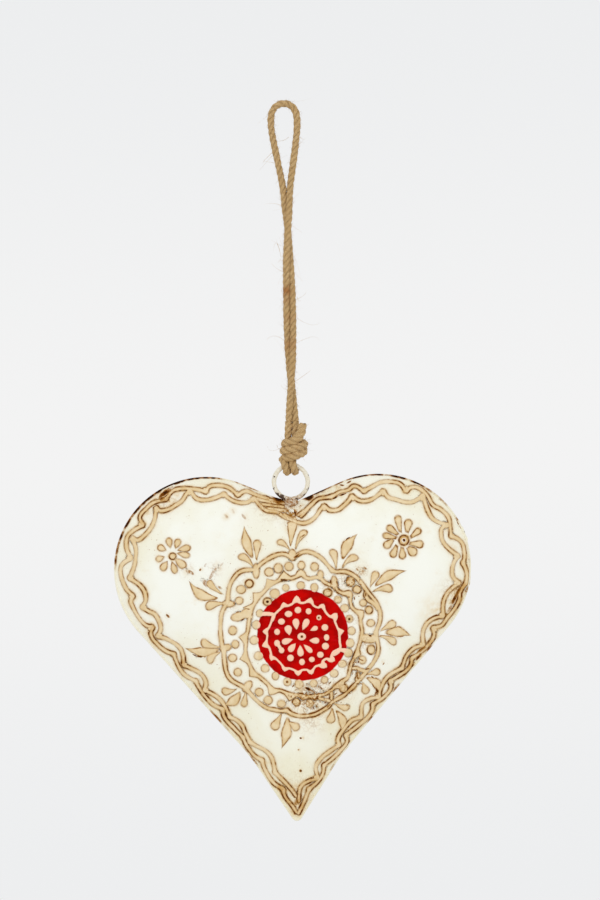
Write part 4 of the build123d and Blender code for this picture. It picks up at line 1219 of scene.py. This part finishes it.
def layHighlightAndEye():
    # low round spots of ground cream on top of the paste: the first, at the notch, is a painted highlight;
    # the last is the pale middle of the right flower's eye, with a dark prick in its middle
    middle, half = onPlane(highlightAndEye["places"]), np.array(highlightAndEye["halves"]) * pixel
    back = np.stack([half, 0 * half], 1)
    points, faces, fans, marks = blobs("round", middle - back, middle + back, half, 0.0, highlightAndEye["height"],
                                       highlightAndEye["pricks"])
    marks["inside"] = np.full(len(points), offPaste)
    return putMesh("highlightAndEyeSpots", points, faces, fans, marks, facing=(0, -1, 0))


for piece in (layFlecks(), layHighlightAndEye()):
    piece.data.materials.append(paintedTin)
    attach(piece, "heart")
print("paste set")


def capped(grid, *poles):
    # a grid closed round, with a fan from its first row to the first pole and from its last row to the second
    rows, columns = grid.shape[:2]
    first = np.arange(columns)
    fans = [poleFan(rows * columns, first, True), poleFan(rows * columns + 1, (rows - 1) * columns + first)]
    points = np.vstack([grid.reshape(-1, 3), *poles])
    return points, gridFaces(rows, columns, columnsClose=True), np.vstack(fans[:len(poles)])


def shell(name, side, across, down):
    # pressed half: each rim point drawn in towards the middle while the height rises,
    # and an inner wall a sheet lower
    rim = heartEdge(across)
    outerRows = np.linspace(0, 1, down + 1)[1:] ** heart["rowPower"]
    share = np.append(outerRows, np.linspace(*heart["innerRows"]))
    height = heart["depth"] * mm * (1 - share ** heart["power"])
    height[down:] -= heart["sheet"] * mm * np.clip((1 - share[down:]) / heart["innerBend"], 0, 1)
    flat = domeCentre + share[:, None, None] * (rim - domeCentre)
    y = side * np.broadcast_to(height[:, None], flat.shape[:2])
    deep = heart["depth"]
    tops = [(0, side * tall * mm, domeCentre[1]) for tall in (deep, deep - heart["sheet"])]
    points, faces, fans = capped(np.stack([flat[..., 0], y, flat[..., 1]], -1), *tops)
    x, z = points[:, 0], points[:, 2]
    out = shareAt(x, z)
    outer = np.arange(len(points)) < (down + 1) * len(rim)
    shown = outer if side < 0 else np.zeros(len(points), bool)
    marks = dict(inside=offPaste, grime=0.0) | groundMarks(x, z, shown)
    edged = np.clip((out - rimLook["edge"]) / rimLook["edgeFade"], 0, 1)
    # front only: the dark spots, and dark marks at the very edge of the rim; at the notch both are painted
    # shadow of the openings between ring and rim
    marks["dark"] = shown * np.maximum(softSpotsAt(x, z, darkSpots), edged * softSpotsAt(x, z, rimDarkMarks))
    marks["scrawl"] = shown * marks["scrawl"]
    soft = np.clip((out - rimLook["washFrom"]) / (1 - rimLook["washFrom"]), 0, 1)
    marks["wash"] = np.maximum(marks["wash"], rimLook["wash"] * soft * outer)
    return putMesh(name, points, faces, fans, marks)


frontShell = shell("frontShell", side=-1, across=640, down=130)
finishPiece(frontShell, "heart", "tin_paint", paintedTin, "front_shell")
backShell = shell("backShell", side=1, across=320, down=50)
finishPiece(backShell, "heart", "tin_paint", paintedTin, "back_shell")
print("shells pressed")

seam = dict(reach=0.25 * mm, half=0.6 * mm, seat=0.7 * mm, round=640, sides=14)


def seamBead():
    # oval section carried round the rim, out past the edge by its reach
    rim = heartEdge(seam["round"])
    way = unit(np.roll(rim, -1, 0) - np.roll(rim, 1, 0))
    out = np.stack([-way[:, 1], way[:, 0]], 1)
    out *= np.sign((out * (rim - domeCentre)).sum(1, keepdims=True))
    a = np.linspace(0, 2 * np.pi, seam["sides"], endpoint=False)
    wide = (seam["reach"] + seam["seat"]) / 2
    offset = (seam["reach"] - wide) + wide * np.cos(a)
    flat = rim[:, None] + out[:, None] * offset[:, None]
    y = np.broadcast_to(seam["half"] * np.sin(a), flat.shape[:2])
    points = np.stack([flat[..., 0], y, flat[..., 1]], -1)
    # the dark marks along the seam are painted shadow where they lie beside the ring's foot
    marks = dict(inside=offPaste, grime=0.0, wash=rimLook["wash"], rim=1.0,
                 dark=softSpotsAt(points[..., 0], points[..., 2], rimDarkMarks))
    return putMesh("seamBead", points, gridFaces(*y.shape, True, True), marks=marks)


finishPiece(seamBead(), "heart", "rim_paint", paintedTin, "seam_bead")

# Ring and its solder

ring = dict(radius=8.45 * mm, wire=2.3 * mm, height=-187.634 * mm, round=160, sides=18,
            speck=0.10, lowSpeck=0.6, speckBelow=0.004, markScale=900.0, speckScale=1100.0,
            darkBrownFade=(0.25, 0.6), dullFade=(0.2, 0.6, 0.38, 0.7))
# bare is the dark brown laid over the ring's dark marks, which at its foot beside the rim is painted shadow
ringTints = dict(paint=tint(250, 247, 231), shade=tint(238, 231, 209),
                 bare=tint(74, 50, 30), brown=tint(158, 108, 50))
# dark marks on the ring: place, reach, strength; the four at its foot beside the rim, from 277,495.5 to
# 308.5,495.5, are painted shadow of the openings between ring and rim
ringDarkMarks = readRows("""274,477,2,0.7 273.5,488,2.2,0.7 309,475,1.8,0.6 308,489,2.4,0.7 281,498.5,3.6,1.8
277,495.5,2.6,1.5 308.5,495.5,2.4,1.5 306,497.5,2.2,1.3 290,499.5,3,0.6 297,499.5,3,0.6 304,495,2.5,0.6""")


def ringTorus():
    # wire section carried round a circle, with slow lumps in the paint, and more specks low down
    u = np.linspace(0, 2 * np.pi, ring["round"], endpoint=False)[:, None]
    v = np.linspace(0, 2 * np.pi, ring["sides"], endpoint=False)[None]
    lump = 1 + 0.03 * np.sin(5 * u + 1.3 * np.sin(v)) + 0.025 * np.sin(11 * u + v)
    lump = lump + 0.02 * np.sin(17 * u - 2 * v)
    half = ring["wire"] / 2 * lump
    reach = ring["radius"] + half * np.cos(v)
    x, z = reach * np.cos(u), ring["height"] + reach * np.sin(u)
    points = np.stack([x, half * np.sin(v), z], -1)
    low = np.clip((ring["height"] - ring["speckBelow"] - z) / ring["speckBelow"], 0, 1)
    marks = dict(chip=softSpotsAt(x, z, ringDarkMarks), speck=ring["speck"] + ring["lowSpeck"] * low)
    return putMesh("hangingRing", points, gridFaces(*x.shape, True, True), marks=marks)


def makeRingPaint():
    material, tree, surface = newMaterial("ringPaint")
    grain = addGroup(tree, fineGrain, Scale=ring["markScale"])
    chip = patchy(tree, mark(tree, "chip"), ring["markScale"])
    browned = patchy(tree, mark(tree, "speck"), ring["speckScale"])
    colour = mixTint(tree, grain["Tone"], ringTints["paint"], ringTints["shade"])
    colour = mixTint(tree, browned, colour, ringTints["brown"])
    # dark brown over the ring's dark marks, painted shadow at its foot beside the rim, and thinly over all
    # the solder
    colour = mixTint(tree, ramp(tree, chip, *ring["darkBrownFade"]), colour, ringTints["bare"])
    tree.links.new(colour, surface.inputs["Base Color"])
    tree.links.new(ramp(tree, chip, *ring["dullFade"]), surface.inputs["Roughness"])
    bump(tree, surface, grain["Height"], strength=0.4, distance=0.15 * mm)
    return material


ringPaint = makeRingPaint()
finishPiece(ringTorus(), "heart", "ring_paint", ringPaint, "hanging_ring")

# solder: its steps, shift from the middle of its box, size as shares of the box, and wear
braze = dict(down=26, round=48, shift=(0, -0.0004, -0.0020), size=(1.5, 0.95, 0.85), pole=0.02,
             look=dict(speck=1.0, chip=0.22))


def ringBraze():
    # lumpy blob: a sphere stretched to the solder's box, its radius uneven
    low, high = (np.array(corner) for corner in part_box("ring_braze"))
    u = np.linspace(0, 2 * np.pi, braze["round"], endpoint=False)[None]
    v = np.linspace(braze["pole"], np.pi - braze["pole"], braze["down"])[:, None]
    lump = 0.94 + 0.05 * np.sin(4 * u + 3 * v) + 0.04 * np.sin(7 * u - 5 * v)
    out = lump * np.sin(v)
    ball = np.stack([out * np.cos(u), out * np.sin(u), lump * np.cos(v)], -1)
    grid = ball * ((high - low) / 2 * braze["size"]) + ((low + high) / 2 + braze["shift"])
    return putMesh("ringBraze", *capped(grid, grid[0].mean(0), grid[-1].mean(0)), braze["look"])


finishPiece(ringBraze(), "heart", "rim_paint", ringPaint, "ring_braze")
print("ring set")

# Stage

studio = dict(world=0.80, floorHeight=-0.62, floorRadius=0.5, floorRings=10, floorSides=64, floorGrain=60.0,
              aim=(0, 0, -0.2), floor=(tint(232, 232, 231), tint(238, 238, 237)),
              sky=(tint(243, 243, 243), tint(237, 238, 239)), skyFade=(0.0, 0.08))
# power, size, place
lamps = dict(keyLamp=(8.2, 1.6, (-0.5, -2.0, 0.75)), fillLamp=(2.2, 1.4, (1.1, -1.7, -0.2)))


def addFloor():
    # round pale floor well under the heart
    u = np.linspace(0, 2 * np.pi, studio["floorSides"], endpoint=False)
    r = np.linspace(0.1, 1, studio["floorRings"])[:, None] * studio["floorRadius"]
    grid = np.stack([r * np.cos(u), r * np.sin(u), studio["floorHeight"] + 0 * r * u], -1)
    floor = putMesh("floor", *capped(grid, (0, 0, studio["floorHeight"])), facing=(0, 0, 1))
    material, tree, surface = newMaterial("paleFloor")
    grain = addGroup(tree, fineGrain, Scale=studio["floorGrain"])
    tree.links.new(mixTint(tree, grain["Tone"], *studio["floor"]), surface.inputs["Base Color"])
    surface.inputs["Roughness"].default_value = 0.9
    floor.data.materials.append(material)


def addLamp(name, power, size, place):
    lamp = bpy.data.lights.new(name, "AREA")
    lamp.energy = power
    lamp.size = size
    holder = bpy.data.objects.new(name, lamp)
    scene.collection.objects.link(holder)
    x, y, z = np.array(studio["aim"]) - np.array(place)
    holder.location = place
    holder.rotation_euler = (math.atan2(math.hypot(x, y), -z), 0, math.atan2(y, x) - math.pi / 2)


def addSky():
    # an even light all round, and a pale backdrop for the camera
    world = bpy.data.worlds.new("studio")
    scene.world = world
    world.use_nodes = True
    tree = world.node_tree
    way = addNode(tree, "ShaderNodeTexCoord").outputs["Generated"]
    up = addNode(tree, "ShaderNodeSeparateXYZ", {0: way}).outputs[2]
    seen = mixTint(tree, ramp(tree, calc(tree, "ABSOLUTE", up), *studio["skyFade"]), *studio["sky"])
    rays = addNode(tree, "ShaderNodeLightPath").outputs["Is Camera Ray"]
    lit = mixTint(tree, rays, (studio["world"],) * 3 + (1,), seen)
    tree.links.new(lit, tree.nodes["Background"].inputs["Color"])


addFloor()
for name, given in lamps.items():
    addLamp(name, *given)
addSky()
scene.view_settings.view_transform = "Standard"
print("stage set")
